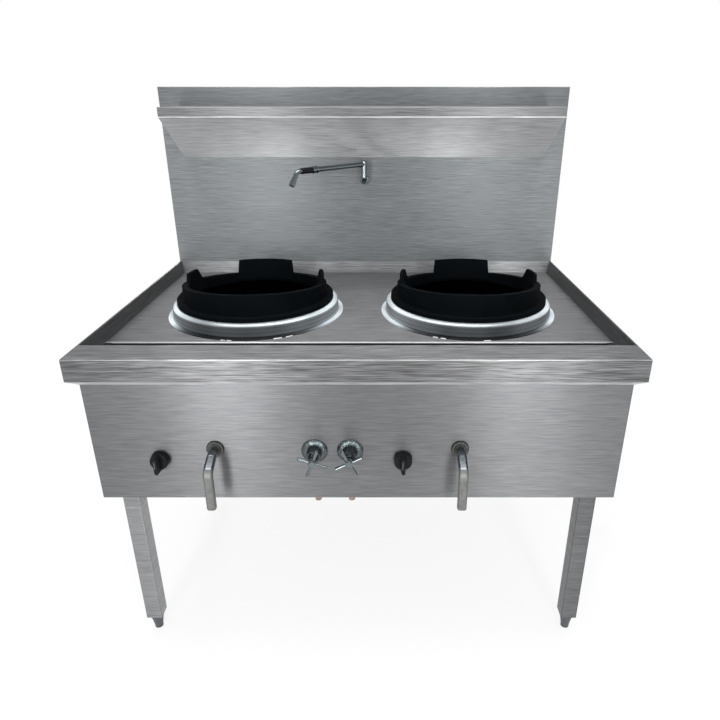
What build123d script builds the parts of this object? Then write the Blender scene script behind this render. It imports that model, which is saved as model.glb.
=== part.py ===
from build123d import *
from math import cos, hypot, radians, sin, sqrt
import os

# Two-burner gas wok range of folded stainless sheet: a flat worktop with a front gutter,
# two cast-iron wok rings on flared collars, a splashback that is also the flue, a shelf,
# a swinging spout with two cross-handled taps, gas levers, pilot knobs and four legs.
# Millimetres. X runs to the cook's right, Y from the cook to the wall, Z up from the floor.

# ---- Driving dimensions ---------------------------------------------------------------
width = 1200.0            # over the worktop rim
depth = 900.0             # lever grips to the back of the flue
rim_height = 800.0        # worktop rim above the floor
overall_height = 1316.0   # top of the splashback
sheet = 1.5               # folded stainless sheet
gap = 0.3                 # between a piece that lifts or turns and its seat
fit = 0.05                # radial running fit of spindles and stems

overhang = 20.0           # rim beyond the panels, front and sides
rim_flat = 80.0           # flat top of the front rim
rim_skirt = 50.0          # upright face of the rim
return_drop = 15.0        # fall of the sloping return under the rim
fold_r = 2.5              # outside of the folds along the rim's and the shelf's front
rim_edge = 4.0            # top edge of the side rims
rim_step = 37.0           # deck below the rim
wall_lean = 10.0          # foot of the side rim's inner wall, in from the outside

gutter_width = 110.0      # open gutter between the front rim and the deck's edge
gutter_depth = 45.0
gutter_lap = 12.0         # trough behind the rim's down-turn
deck_lip = 15.0
waste_r = 25.0
waste_wall = 2.0
waste_length = 70.0
waste_flange = 13.0       # flange beyond the waste pipe
waste_inset = 120.0       # waste outlet from the gutter's right end
strainer_overlap = 11.0   # strainer plate beyond the waste pipe
strainer_spigot = 12.0    # spigot that centres it in the waste
strainer_hole_r = 2.4
strainer_row_r = 15.0
strainer_holes = 10
strainer_knob_r = 6.0
strainer_knob = 18.0      # knob's top above the plate
strainer_neck_r = 3.5

panel_height = 284.0      # panels, from under the rim to their lower edge
panel_flange = 20.0

flue_depth = 90.0
flue_slots = 24
flue_slot_width = 12.0
flue_slot_length = 56.0

shelf_inset = 55.0        # shelf's ends in from the splashback's
shelf_reach = 190.0
shelf_drop = 52.0         # shelf below the top of the splashback
shelf_lip = 25.0
shelf_fall = 118.0        # lip's lower edge down to the foot of the sloping underside

leg_size = 40.0
leg_wall = 1.5
leg_corner_r = 3.0
leg_inset = 42.0          # leg's centre inside the side panel
leg_front_inset = 80.0    # front legs' centre behind the rim's face
leg_back_inset = 60.0     # rear legs' centre before the flue's back
rail_height = 25.0
rail_thickness = 30.0
foot_height = 45.0
foot_top_r = 16.5
foot_tip_r = 10.5
foot_sole = 6.0           # straight sole below the taper
foot_collar = 9.0         # straight collar above it
foot_bevel = 3.0
foot_stem_r = 5.0
foot_engaged = 22.0       # thread that stays in the leg when the foot is run out
foot_travel = 20.0
insert_height = 20.0
supply_clear = 4.0        # water supplies behind the front panel's flange

burner_x = 280.0
burner_inset = 427.0      # burner centres behind the rim's face
collar_top_r = 216.0
collar_wall = 2.0
collar_flange = 12.5      # flange on the deck, beyond the wall
collar_foot = 2.5         # spread of the wall where it meets the flange
collar_lean = 1.0         # wall either side of the collar's radius, top and foot
collar_height = 31.0
collar_bead = 16.0        # rounded shoulder, from the wall in to the ring's seat
bead_drop = 4.0           # wall's top below the shoulder
collar_rise = 4.0         # annulus rises from the bead to the ring's seat
collar_seat = 8.0         # flat seat inside the shoulder
collar_throat_drop = 12.0
ring_overlap = 3.0        # ring's flange beyond the seat
ring_shoulder = 17.0      # ring's flange beyond its wall
ring_wall = 18.0
ring_flange = 13.0
ring_bevel = 3.0
ring_front = 97.0         # top of the ring's wall above the deck, at the front
ring_back = 56.0          # the same at the back
lug_inset = 6.0           # lugs' outer faces in from the wall's
lug_proud = 4.0           # lugs' feet inside the wall's bore
lug_cone = 8.0            # how far the lugs' inner faces lean out for the wok
back_lug_top = 96.0
back_lug_arc = 51.0       # degrees
side_lug_top = 98.0
side_lug_arc = 30.0
side_lug_angle = 9.0      # side lugs behind the ring's cross line
lug_taper = 0.55          # side lug's top width to its foot width
back_lug_taper = 0.94

chamber_clear = 13.0      # chamber's wall outside the collar's throat
chamber_depth = 241.5
chamber_wall = 2.0
chamber_flange = 18.0
lining_wall = 50.0
lining_top_gap = 8.0      # lining's top below the collar's throat
port_width = 160.0        # flue port at the back of the chamber
port_height = 80.0
port_rise = 116.0         # port above the chamber's floor
duct_clear = 1.5
head_r = 70.0
head_thickness = 24.0
head_rise = 36.0          # burner head above the chamber's floor
jet_width = 12.0          # across the jet's flats
jet_height = 30.0
jet_taper = 4.0           # degrees
jet_row_step = 27.0
jet_rings = 2             # rings of jets round the middle one
jets_in_ring = 6          # in the first ring, twice as many in the next
stem_r = 24.0

lever_x = (-312.0, 224.0)
lever_height = 130.0      # levers above the panel's lower edge
lever_reach = 74.0        # grip's centre line in front of the panel
lever_crank = 17.0        # fall of the crank from the spindle to the grip
lever_drop = 107.0        # spindle to the grip's lower end
lever_bend = 14.0
lever_shaft = 34.0
lever_lap = 2.0           # flat bar's root inside the round shaft
grip_width = 20.0
grip_depth = 16.0
grip_round = 5.6          # rounding of the grip's long edges
grip_end_round = 4.8
lever_shaft_r = 8.5
spindle_r = 6.0
bush_r = 19.0
bush_thickness = 6.0
bush_sleeve = 3.0         # sleeve's wall
bush_bevel = 1.5
bush_clear = 1.5          # hole in the panel round the sleeve
valve_size = 44.0
valve_front = 12.0
valve_length = 42.0

knob_x = (-434.0, 99.0)
knob_height = 105.0
knob_r = 21.0
knob_skirt = 15.0
knob_face_r = 18.0        # skirt's flat face, inside its bevel
knob_grip = 21.0
knob_grip_inset = 0.5     # grip's ends in from the skirt's edge
knob_grip_width = 12.0
knob_grip_taper = 4.0     # degrees
knob_bevel = 1.6
knob_round = 2.0          # grip's outer edge
knob_push = 4.0
knob_clear = 1.0          # left between the pressed knob and the panel
stem_rod_r = 3.0
pilot_valve_width = 34.0
pilot_valve_height = 44.0
pilot_valve_length = 36.0
pilot_valve_wall = 3.0

tap_x = (-95.0, -17.0)
tap_turn = (-20.0, 27.0)  # how each cross handle was left, degrees
tap_height = 124.0
tap_flange_r = 29.0
tap_flange = 7.0
tap_flange_edge = 1.0
tap_neck = 2.0            # hollow between the flange's dome and the bonnet
tap_bonnet_r = 15.0
tap_hole_r = 12.0
tap_plane = 52.0          # cross arms in front of the panel
tap_arm_r = 3.4
tap_arm_end_r = 4.2       # arms swell a little to their ends
tap_arm_bevel = 1.4
tap_span = 66.0
tap_hub_r = 9.0
tap_hub = 14.0
tap_hub_bevel = 2.4
tap_hub_gap = 5.0         # bonnet's end below the hub
tap_cap_length = 10.0     # stepped end of the bonnet
tap_spindle = 7.0         # spindle inside the bonnet
tap_block = 28.0
tap_block_length = 40.0

manifold_r = 13.45
manifold_bend = 29.6
manifold_clear = 2.0      # manifold behind the leg and beside the chamber
branch_r = 8.0
gas_inlet_side = 160.0    # inlet outside the left burner's centre
gas_inlet_inset = 140.0
inlet_drop = 26.0         # gas and water inlets below the panels
burner_pipe_r = 10.6
burner_pipe_bend = 21.2
burner_pipe_drop = 28.0   # below the chamber
pilot_pipe_r = 4.0
pilot_pipe_bend = 12.0
pilot_pipe_drop = 22.0
pilot_side = 16.0         # pilot pipe outside the burner's stem
pilot_tip = 8.0           # pilot's end above the burner head
pipe_hole = 1.0           # clearance round a pipe that passes through sheet
water_pipe_r = 7.5
bridge_bend = 16.0
riser_bend = 16.0
riser_back = 30.0         # riser behind the splashback's sheet
riser_height = 58.0       # bridge between the taps above their centres
riser_jog = 40.0          # riser's step across to the spout, below it
tee_size = 22.5

spout_fall = 65.0         # wall stub of the spout below the shelf's foot
spout_out = 50.0          # column in front of the splashback
spout_rose_r = 14.0
spout_rose = 6.0
spout_rose_bevel = 2.0
spout_seam_rise = 28.0    # fixed column ends and the swinging part starts
spout_top_rise = 60.0
spout_arm_rise = 49.0
spout_swing = 48.0        # arm's angle out from the wall as photographed
spout_column_r = 8.0
spout_bend = 12.8
spout_cap_r = 8.6
spout_cap_bevel = 2.0
spout_pivot_r = 4.5
spout_pivot = 7.0
spout_arm_r = 7.0
spout_knuckle = 186.0     # union on the arm, from the column
knuckle_ring = 6.0
knuckle_gap = 3.0
knuckle_proud = 2.5
spout_sleeve = 205.0
spout_sleeve_end = 247.0
sleeve_proud = 1.2
sleeve_bevel = 2.0
spout_reach = 282.0
spout_nozzle_drop = 36.0
spout_nozzle_lean = 23.0  # nozzle's tip beyond its bend
spout_nozzle_r = 6.5
spout_nozzle_bend = 15.0
aerator_r = 8.0
aerator_length = 16.0
aerator_bore_r = 6.0
aerator_bore = 5.0

# ---- Places worked out from them ------------------------------------------------------
half = width / 2
lever_proud = lever_reach + grip_depth / 2 - overhang
front = -(depth - lever_proud) / 2
back = front + depth
panel_y = front + overhang
panel_x = half - overhang
skirt_z = rim_height - rim_skirt
return_z = skirt_z - return_drop
panel_bottom = return_z - panel_height
deck_z = rim_height - rim_step
splash_y = back - flue_depth
flue_y = splash_y + sheet
return_cut = sheet * hypot(overhang, return_drop) / return_drop
return_corner = return_z + (overhang - sheet + return_cut) * return_drop / overhang
gutter_y = front + rim_flat
deck_front = gutter_y + gutter_width
trough_back = deck_front + 2 * sheet
wall_foot = half - wall_lean
deck_half = wall_foot + sheet
trough_half = panel_x - return_cut
trough_floor = deck_z - gutter_depth

burner_y = front + burner_inset
collar_seat_r = collar_top_r - collar_bead
collar_throat_r = collar_seat_r - collar_seat
ring_seat = deck_z + collar_height + collar_rise
ring_flange_r = collar_seat_r + ring_overlap
ring_wall_r = ring_flange_r - ring_shoulder
ring_bore_r = ring_wall_r - ring_wall
chamber_r = collar_throat_r + chamber_clear
chamber_top = deck_z - sheet
chamber_bottom = chamber_top - chamber_depth
lining_r = chamber_r - chamber_wall - gap
port_bottom = chamber_bottom + port_rise
head_bottom = chamber_bottom + head_rise

lever_z = panel_bottom + lever_height
knob_z = panel_bottom + knob_height
tap_z = panel_bottom + tap_height
inlet_low = panel_bottom - inlet_drop
riser_x = tap_x[1] - tee_size
shelf_top = overall_height - shelf_drop
lip_low = shelf_top - shelf_lip
shelf_foot = lip_low - shelf_fall
spout_z = shelf_foot - spout_fall
sides = (("left", -1, 0), ("right", 1, 1))

os.makedirs("parts", exist_ok=True)


def keep(piece, name):
    """Names a finished piece and writes it out."""
    piece.part.label = name
    export_step(piece.part, f"parts/{name}.step")


def block(low, high):
    """A plain block between two corners, to be added or cut."""
    size = [b - a for a, b in zip(low, high)]
    with BuildPart(Location(low)) as blank:
        Box(*size, align=(Align.MIN, Align.MIN, Align.MIN))
    return blank.part


def pipe(radius, bend, *points):
    """A round pipe along straight runs joined by bends of one radius."""
    with BuildPart() as run:
        with BuildLine() as path:
            FilletPolyline(*points, radius=bend)
        with BuildSketch(Plane(points[0], z_dir=path.line % 0)):
            Circle(radius)
        sweep(path=path.line)
    return run.part


# ---- Worktop --------------------------------------------------------------------------
# Front rim: flat top, skirt and sloping return, mitred into the same return at both ends.
rim_side = [
    (front, rim_height), (front, skirt_z), (panel_y, return_z),
    (gutter_y, return_z), (gutter_y, rim_height),
]
rim_hollow = [
    (front + sheet, rim_height - sheet), (front + sheet, return_corner),
    (panel_y + return_cut, return_z), (gutter_y - sheet, return_z),
    (gutter_y - sheet, rim_height - sheet),
]
rim_end = [
    (half, rim_height), (half, skirt_z), (panel_x, return_z),
    (-panel_x, return_z), (-half, skirt_z), (-half, rim_height),
]
rim_end_hollow = [
    (half - sheet, rim_height - sheet), (half - sheet, return_corner),
    (panel_x - return_cut, return_z), (return_cut - panel_x, return_z),
    (sheet - half, return_corner), (sheet - half, rim_height - sheet),
]


def tray(side_outline, end_outline):
    """What is inside both outlines, one seen from the side and one from the front."""
    with BuildPart() as solid:
        with BuildSketch(Plane.YZ):
            with BuildLine():
                Polyline(*side_outline, close=True)
            make_face()
        extrude(amount=half, both=True)
        with BuildSketch(Plane.XZ.offset(-gutter_y)):
            with BuildLine():
                Polyline(*end_outline, close=True)
            make_face()
        extrude(amount=rim_flat, mode=Mode.INTERSECT)
    return solid.part


rim_blank = tray(rim_side, rim_end)
rim_inside = tray(rim_hollow, rim_end_hollow)
rim_opening = block(
    (return_cut - panel_x, gutter_y - sheet, return_z), (panel_x - return_cut, gutter_y, deck_z)
)
with BuildPart() as front_rim:
    add(rim_blank)
    add(rim_inside, mode=Mode.SUBTRACT)
    add(rim_opening, mode=Mode.SUBTRACT)
    at_front = edges().filter_by(Axis.X).filter_by_position(Axis.Y, front - gap, front + gap)
    fillet(at_front.sort_by(Axis.Z)[-1], fold_r)
keep(front_rim, "front_rim")

# Side rims: one folded sheet, skirt outside, thin top edge, leaning wall down to the deck.
edge_in = rim_edge - sheet
for name, side, _ in sides:
    with BuildPart() as side_rim:
        with BuildSketch(Plane.XZ.offset(-flue_y)):
            with BuildLine():
                Polyline(
                    (side * panel_x, return_z), (side * half, skirt_z),
                    (side * half, rim_height), (side * (half - rim_edge), rim_height),
                    (side * wall_foot, deck_z), (side * deck_half, deck_z),
                    (side * (half - edge_in), rim_height - sheet),
                    (side * (half - sheet), rim_height - sheet),
                    (side * (half - sheet), return_corner),
                    (side * (panel_x - return_cut), return_z), close=True,
                )
            make_face()
        extrude(amount=flue_y - gutter_y)
    keep(side_rim, f"{name}_side_rim")

# Deck: flat sheet with a hole under each collar, lip into the gutter, upstand at the wall.
with BuildPart() as worktop_deck:
    with BuildSketch(Plane.XY.offset(deck_z - sheet)):
        with Locations((0, (deck_front + flue_y) / 2)):
            Rectangle(2 * deck_half, flue_y - deck_front)
        with Locations((-burner_x, burner_y), (burner_x, burner_y)):
            Circle(collar_throat_r + sheet, mode=Mode.SUBTRACT)
    extrude(amount=sheet)
    with BuildSketch(Plane.XY.offset(deck_z - deck_lip)):
        with Locations((0, deck_front + sheet / 2)):
            Rectangle(2 * (trough_half - sheet), sheet)
    extrude(amount=deck_lip - sheet)
    with BuildSketch(Plane.XZ.offset(-flue_y)):
        with BuildLine():
            Polyline(
                (-wall_foot, deck_z), (wall_foot, deck_z),
                (half - rim_edge, rim_height), (rim_edge - half, rim_height), close=True,
            )
        make_face()
    extrude(amount=sheet)
keep(worktop_deck, "worktop_deck")

# Gutter: folded trough between the rim and the deck, with flanges under the side rims.
waste_x = trough_half - waste_inset
waste_y = (gutter_y + deck_front) / 2
trough_mid = (gutter_y + trough_back) / 2
with BuildPart() as gutter_trough:
    with BuildSketch(Plane.XY.offset(trough_floor)):
        with Locations((0, trough_mid)):
            Rectangle(2 * trough_half, trough_back - gutter_y)
    extrude(amount=gutter_depth - sheet)
    with BuildSketch(Plane.XY.offset(trough_floor + sheet)):
        with Locations((0, trough_mid)):
            Rectangle(2 * (trough_half - sheet), trough_back - gutter_y - 2 * sheet)
    extrude(amount=gutter_depth, mode=Mode.SUBTRACT)
    with BuildSketch(Plane.XY.offset(deck_z - sheet)):
        with Locations((0, gutter_y + sheet / 2)):
            Rectangle(2 * trough_half, sheet)
    extrude(amount=gutter_lap + sheet)
    with BuildSketch(Plane.XY.offset(deck_z - sheet)):
        for side in (-1, 1):
            with Locations((side * (trough_half - sheet + deck_half) / 2, waste_y)):
                Rectangle(deck_half - trough_half + sheet, gutter_width)
    extrude(amount=sheet)
    with Locations((waste_x, waste_y, trough_floor)):
        Cylinder(waste_r - waste_wall, 4 * sheet, mode=Mode.SUBTRACT)
keep(gutter_trough, "gutter_trough")

with BuildPart() as waste_outlet:
    with BuildSketch(Plane.XY.offset(trough_floor)):
        with Locations((waste_x, waste_y)):
            Circle(waste_r + waste_flange)
    extrude(amount=-waste_wall)
    with BuildSketch(Plane.XY.offset(trough_floor)):
        with Locations((waste_x, waste_y)):
            Circle(waste_r)
    extrude(amount=-waste_length)
    with BuildSketch(Plane.XY.offset(trough_floor)):
        with Locations((waste_x, waste_y)):
            Circle(waste_r - waste_wall)
    extrude(amount=-waste_length, mode=Mode.SUBTRACT)
keep(waste_outlet, "waste_outlet")

strainer_z = trough_floor + sheet + gap
strainer_top = strainer_z + sheet + strainer_knob
knob_foot = strainer_top - strainer_knob_r
with BuildPart() as gutter_strainer:
    with BuildSketch(Plane.XY.offset(strainer_z)):
        with Locations((waste_x, waste_y)):
            Circle(waste_r + strainer_overlap)
            with PolarLocations(strainer_row_r, strainer_holes):
                Circle(strainer_hole_r, mode=Mode.SUBTRACT)
    extrude(amount=sheet)
    with BuildSketch(Plane.XZ.offset(-waste_y)):
        with BuildLine():
            Polyline(
                (waste_x, strainer_z), (waste_x + strainer_neck_r, strainer_z),
                (waste_x + strainer_neck_r, knob_foot), (waste_x + strainer_knob_r, knob_foot),
                (waste_x + strainer_knob_r, strainer_top - sheet),
                (waste_x + strainer_knob_r - sheet, strainer_top), (waste_x, strainer_top),
                close=True,
            )
        make_face()
    revolve(axis=Axis((waste_x, waste_y, 0), (0, 0, 1)))
    with BuildSketch(Plane.XY.offset(strainer_z)):
        with Locations((waste_x, waste_y)):
            Circle(waste_r - waste_wall - gap)
            Circle(waste_r - 2 * waste_wall - gap, mode=Mode.SUBTRACT)
    extrude(amount=-strainer_spigot)
keep(gutter_strainer, "gutter_strainer")

# ---- Body -----------------------------------------------------------------------------
# Front panel: one sheet with flanges top and bottom, bored for the spindles and taps.
with BuildPart() as front_panel:
    with BuildSketch(Plane.YZ):
        with BuildLine():
            Polyline(
                (panel_y + panel_flange, panel_bottom), (panel_y, panel_bottom),
                (panel_y, return_z), (panel_y + panel_flange, return_z),
                (panel_y + panel_flange, return_z - sheet), (panel_y + sheet, return_z - sheet),
                (panel_y + sheet, panel_bottom + sheet),
                (panel_y + panel_flange, panel_bottom + sheet), close=True,
            )
        make_face()
    extrude(amount=panel_x, both=True)
    with Locations(*[
        (side * (panel_x - sheet / 2), panel_y + sheet + panel_flange / 2, panel_bottom)
        for side in (-1, 1)
    ]):
        Box(
            sheet, panel_flange, panel_height, mode=Mode.SUBTRACT,
            align=(Align.CENTER, Align.CENTER, Align.MIN),
        )
    with BuildSketch(Plane.XZ.offset(-panel_y)):
        with Locations(*[(x, lever_z) for x in lever_x]):
            Circle(spindle_r + bush_sleeve + bush_clear)
        with Locations(*[(x, knob_z) for x in knob_x]):
            Circle(stem_rod_r + sheet)
        with Locations(*[(x, tap_z) for x in tap_x]):
            Circle(tap_hole_r)
    extrude(amount=-2 * sheet, mode=Mode.SUBTRACT)
keep(front_panel, "front_panel")

# Side panels: upright sheet behind the front panel's edge, flanged under the rim.
for name, side, _ in sides:
    flange_in = side * (panel_x - panel_flange)
    flange_mid = side * (panel_x - sheet - panel_flange / 2)
    corners = [
        (flange_mid, end_y, end_z)
        for end_y in (panel_y + panel_flange / 2, back - panel_flange / 2)
        for end_z in (return_z, panel_bottom)
    ]
    with BuildPart() as side_panel:
        with BuildSketch(Plane.XZ.offset(-back)):
            with BuildLine():
                Polyline(
                    (flange_in, panel_bottom), (side * panel_x, panel_bottom),
                    (side * panel_x, return_z), (flange_in, return_z),
                    (flange_in, return_z - sheet), (side * (panel_x - sheet), return_z - sheet),
                    (side * (panel_x - sheet), panel_bottom + sheet),
                    (flange_in, panel_bottom + sheet), close=True,
                )
            make_face()
        extrude(amount=depth - overhang - sheet)
        with Locations(*corners):
            Box(panel_flange, panel_flange, 4 * sheet, mode=Mode.SUBTRACT)
        with Locations((flange_mid, trough_mid, return_z)):
            Box(panel_flange, trough_back - gutter_y + 2 * gap, 4 * sheet, mode=Mode.SUBTRACT)
    keep(side_panel, f"{name}_side_panel")

# Back panel: the same section turned round, between the side panels.
with BuildPart() as back_panel:
    with BuildSketch(Plane.YZ):
        with BuildLine():
            Polyline(
                (back - panel_flange, panel_bottom), (back, panel_bottom),
                (back, return_z), (back - panel_flange, return_z),
                (back - panel_flange, return_z - sheet), (back - sheet, return_z - sheet),
                (back - sheet, panel_bottom + sheet),
                (back - panel_flange, panel_bottom + sheet), close=True,
            )
        make_face()
    extrude(amount=panel_x - sheet, both=True)
keep(back_panel, "back_panel")

# Legs, their threaded inserts and feet, and the rails between them.
leg_x = panel_x - leg_inset
leg_inner = leg_size - 2 * leg_wall
stem_top = foot_height + foot_travel + foot_engaged
leg_front_y = front + leg_front_inset
leg_back_y = back - leg_back_inset
leg_places = (
    ("front_left", -leg_x, leg_front_y, trough_floor),
    ("front_right", leg_x, leg_front_y, trough_floor),
    ("back_left", -leg_x, leg_back_y, return_z),
    ("back_right", leg_x, leg_back_y, return_z),
)
for name, x, y, top in leg_places:
    with BuildPart() as leg:
        with BuildSketch(Plane.XY.offset(foot_height)):
            with Locations((x, y)):
                RectangleRounded(leg_size, leg_size, leg_corner_r)
                Rectangle(leg_inner, leg_inner, mode=Mode.SUBTRACT)
        extrude(amount=top - foot_height)
    keep(leg, f"{name}_leg")

    with BuildPart() as foot:
        with BuildSketch(Plane.XZ.offset(-y)):
            with BuildLine():
                Polyline(
                    (x, 0), (x + foot_tip_r, 0), (x + foot_tip_r, foot_sole),
                    (x + foot_top_r - foot_bevel / 2, foot_height - foot_collar - foot_bevel),
                    (x + foot_top_r, foot_height - foot_collar),
                    (x + foot_top_r, foot_height - gap), (x + foot_stem_r - fit, foot_height - gap),
                    (x + foot_stem_r - fit, stem_top), (x, stem_top), close=True,
                )
            make_face()
        revolve(axis=Axis((x, y, 0), (0, 0, 1)))
    keep(foot, f"{name}_foot")

with BuildPart() as leg_inserts:
    with BuildSketch(Plane.XY.offset(foot_height)):
        with Locations(*[(x, y) for _, x, y, _ in leg_places]):
            Rectangle(leg_inner, leg_inner)
            Circle(foot_stem_r, mode=Mode.SUBTRACT)
    extrude(amount=insert_height)
keep(leg_inserts, "leg_inserts")

rail_z = panel_bottom + sheet + rail_height / 2
rail_inside = (rail_thickness - 2 * leg_wall, rail_height - 2 * leg_wall)
for name, y in (("front_rail", leg_front_y), ("back_rail", leg_back_y)):
    with BuildPart() as rail:
        with BuildSketch(Plane.YZ):
            with Locations((y, rail_z)):
                Rectangle(rail_thickness, rail_height)
                Rectangle(*rail_inside, mode=Mode.SUBTRACT)
        extrude(amount=leg_x - leg_size / 2, both=True)
    keep(rail, name)
for name, side, _ in sides:
    with BuildPart() as rail:
        with BuildSketch(Plane.XZ.offset(leg_size / 2 - leg_back_y)):
            with Locations((side * leg_x, rail_z)):
                Rectangle(rail_thickness, rail_height)
                Rectangle(*rail_inside, mode=Mode.SUBTRACT)
        extrude(amount=leg_back_y - leg_front_y - leg_size)
    keep(rail, f"{name}_rail")

# ---- Splashback, flue and shelf -------------------------------------------------------
with BuildPart() as splashback_panel:
    with BuildSketch(Plane.XZ.offset(-flue_y)):
        with Locations((0, (rim_height + overall_height - sheet) / 2)):
            Rectangle(width, overall_height - sheet - rim_height)
        with Locations((0, spout_z)):
            Circle(spout_column_r, mode=Mode.SUBTRACT)
    extrude(amount=sheet)
keep(splashback_panel, "splashback_panel")

# Flue cover: back and side walls of the flue, and its floor with a port over each duct.
duct_width = port_width - 2 * duct_clear
duct_low = port_bottom + duct_clear
duct_high = port_bottom + port_height - duct_clear
duct_front = burner_y + sqrt(chamber_r**2 - (port_width / 2) ** 2)
duct_back = back - panel_flange - sheet
riser_front = flue_y + 6 * sheet
flue_floor = block(
    (sheet - half, flue_y, return_z), (half - sheet, back - sheet, return_z + sheet)
)
with BuildPart() as flue_cover:
    with BuildSketch(Plane.XY.offset(return_z)):
        with Locations((0, (flue_y + back) / 2)):
            Rectangle(width, back - flue_y)
        with Locations((0, (flue_y + back - sheet) / 2)):
            Rectangle(width - 2 * sheet, back - sheet - flue_y, mode=Mode.SUBTRACT)
    extrude(amount=overall_height - sheet - return_z)
    add(flue_floor)
    with BuildSketch(Plane.XY.offset(return_z)):
        with Locations(*[(x, (riser_front + duct_back) / 2) for x in (-burner_x, burner_x)]):
            Rectangle(duct_width - 2 * sheet, duct_back - riser_front - 2 * sheet)
        with Locations((riser_x, flue_y + riser_back)):
            Circle(water_pipe_r + sheet)
    extrude(amount=2 * sheet, mode=Mode.SUBTRACT)
keep(flue_cover, "flue_cover")

with BuildPart() as flue_grille:
    with BuildSketch(Plane.XY.offset(overall_height - sheet)):
        with Locations((0, (splash_y + back) / 2)):
            Rectangle(width, flue_depth)
            with GridLocations(width / (flue_slots + 1), flue_depth, flue_slots, 1):
                SlotOverall(flue_slot_length, flue_slot_width, rotation=90, mode=Mode.SUBTRACT)
    extrude(amount=sheet)
keep(flue_grille, "flue_grille")

# Shelf: flat top and upright lip over a sloping underside, closed at both ends.
shelf_front = splash_y - shelf_reach
shelf_half = half - shelf_inset
slope_cut = sheet * hypot(shelf_reach, shelf_fall) / shelf_reach
with BuildPart() as shelf:
    with BuildSketch(Plane.YZ):
        with BuildLine():
            Polyline(
                (splash_y, shelf_top), (shelf_front, shelf_top), (shelf_front, lip_low),
                (splash_y, shelf_foot), close=True,
            )
        make_face()
    extrude(amount=shelf_half, both=True)
    with BuildSketch(Plane.YZ):
        with BuildLine():
            Polyline(
                (splash_y, shelf_top - sheet), (shelf_front + sheet, shelf_top - sheet),
                (shelf_front + sheet, lip_low + slope_cut - sheet * shelf_fall / shelf_reach),
                (splash_y, shelf_foot + slope_cut), close=True,
            )
        make_face()
    extrude(amount=shelf_half - sheet, both=True, mode=Mode.SUBTRACT)
    at_lip = edges().filter_by(Axis.X).filter_by_position(
        Axis.Y, shelf_front - gap, shelf_front + gap
    )
    fillet(at_lip, fold_r)
keep(shelf, "shelf")

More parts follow.
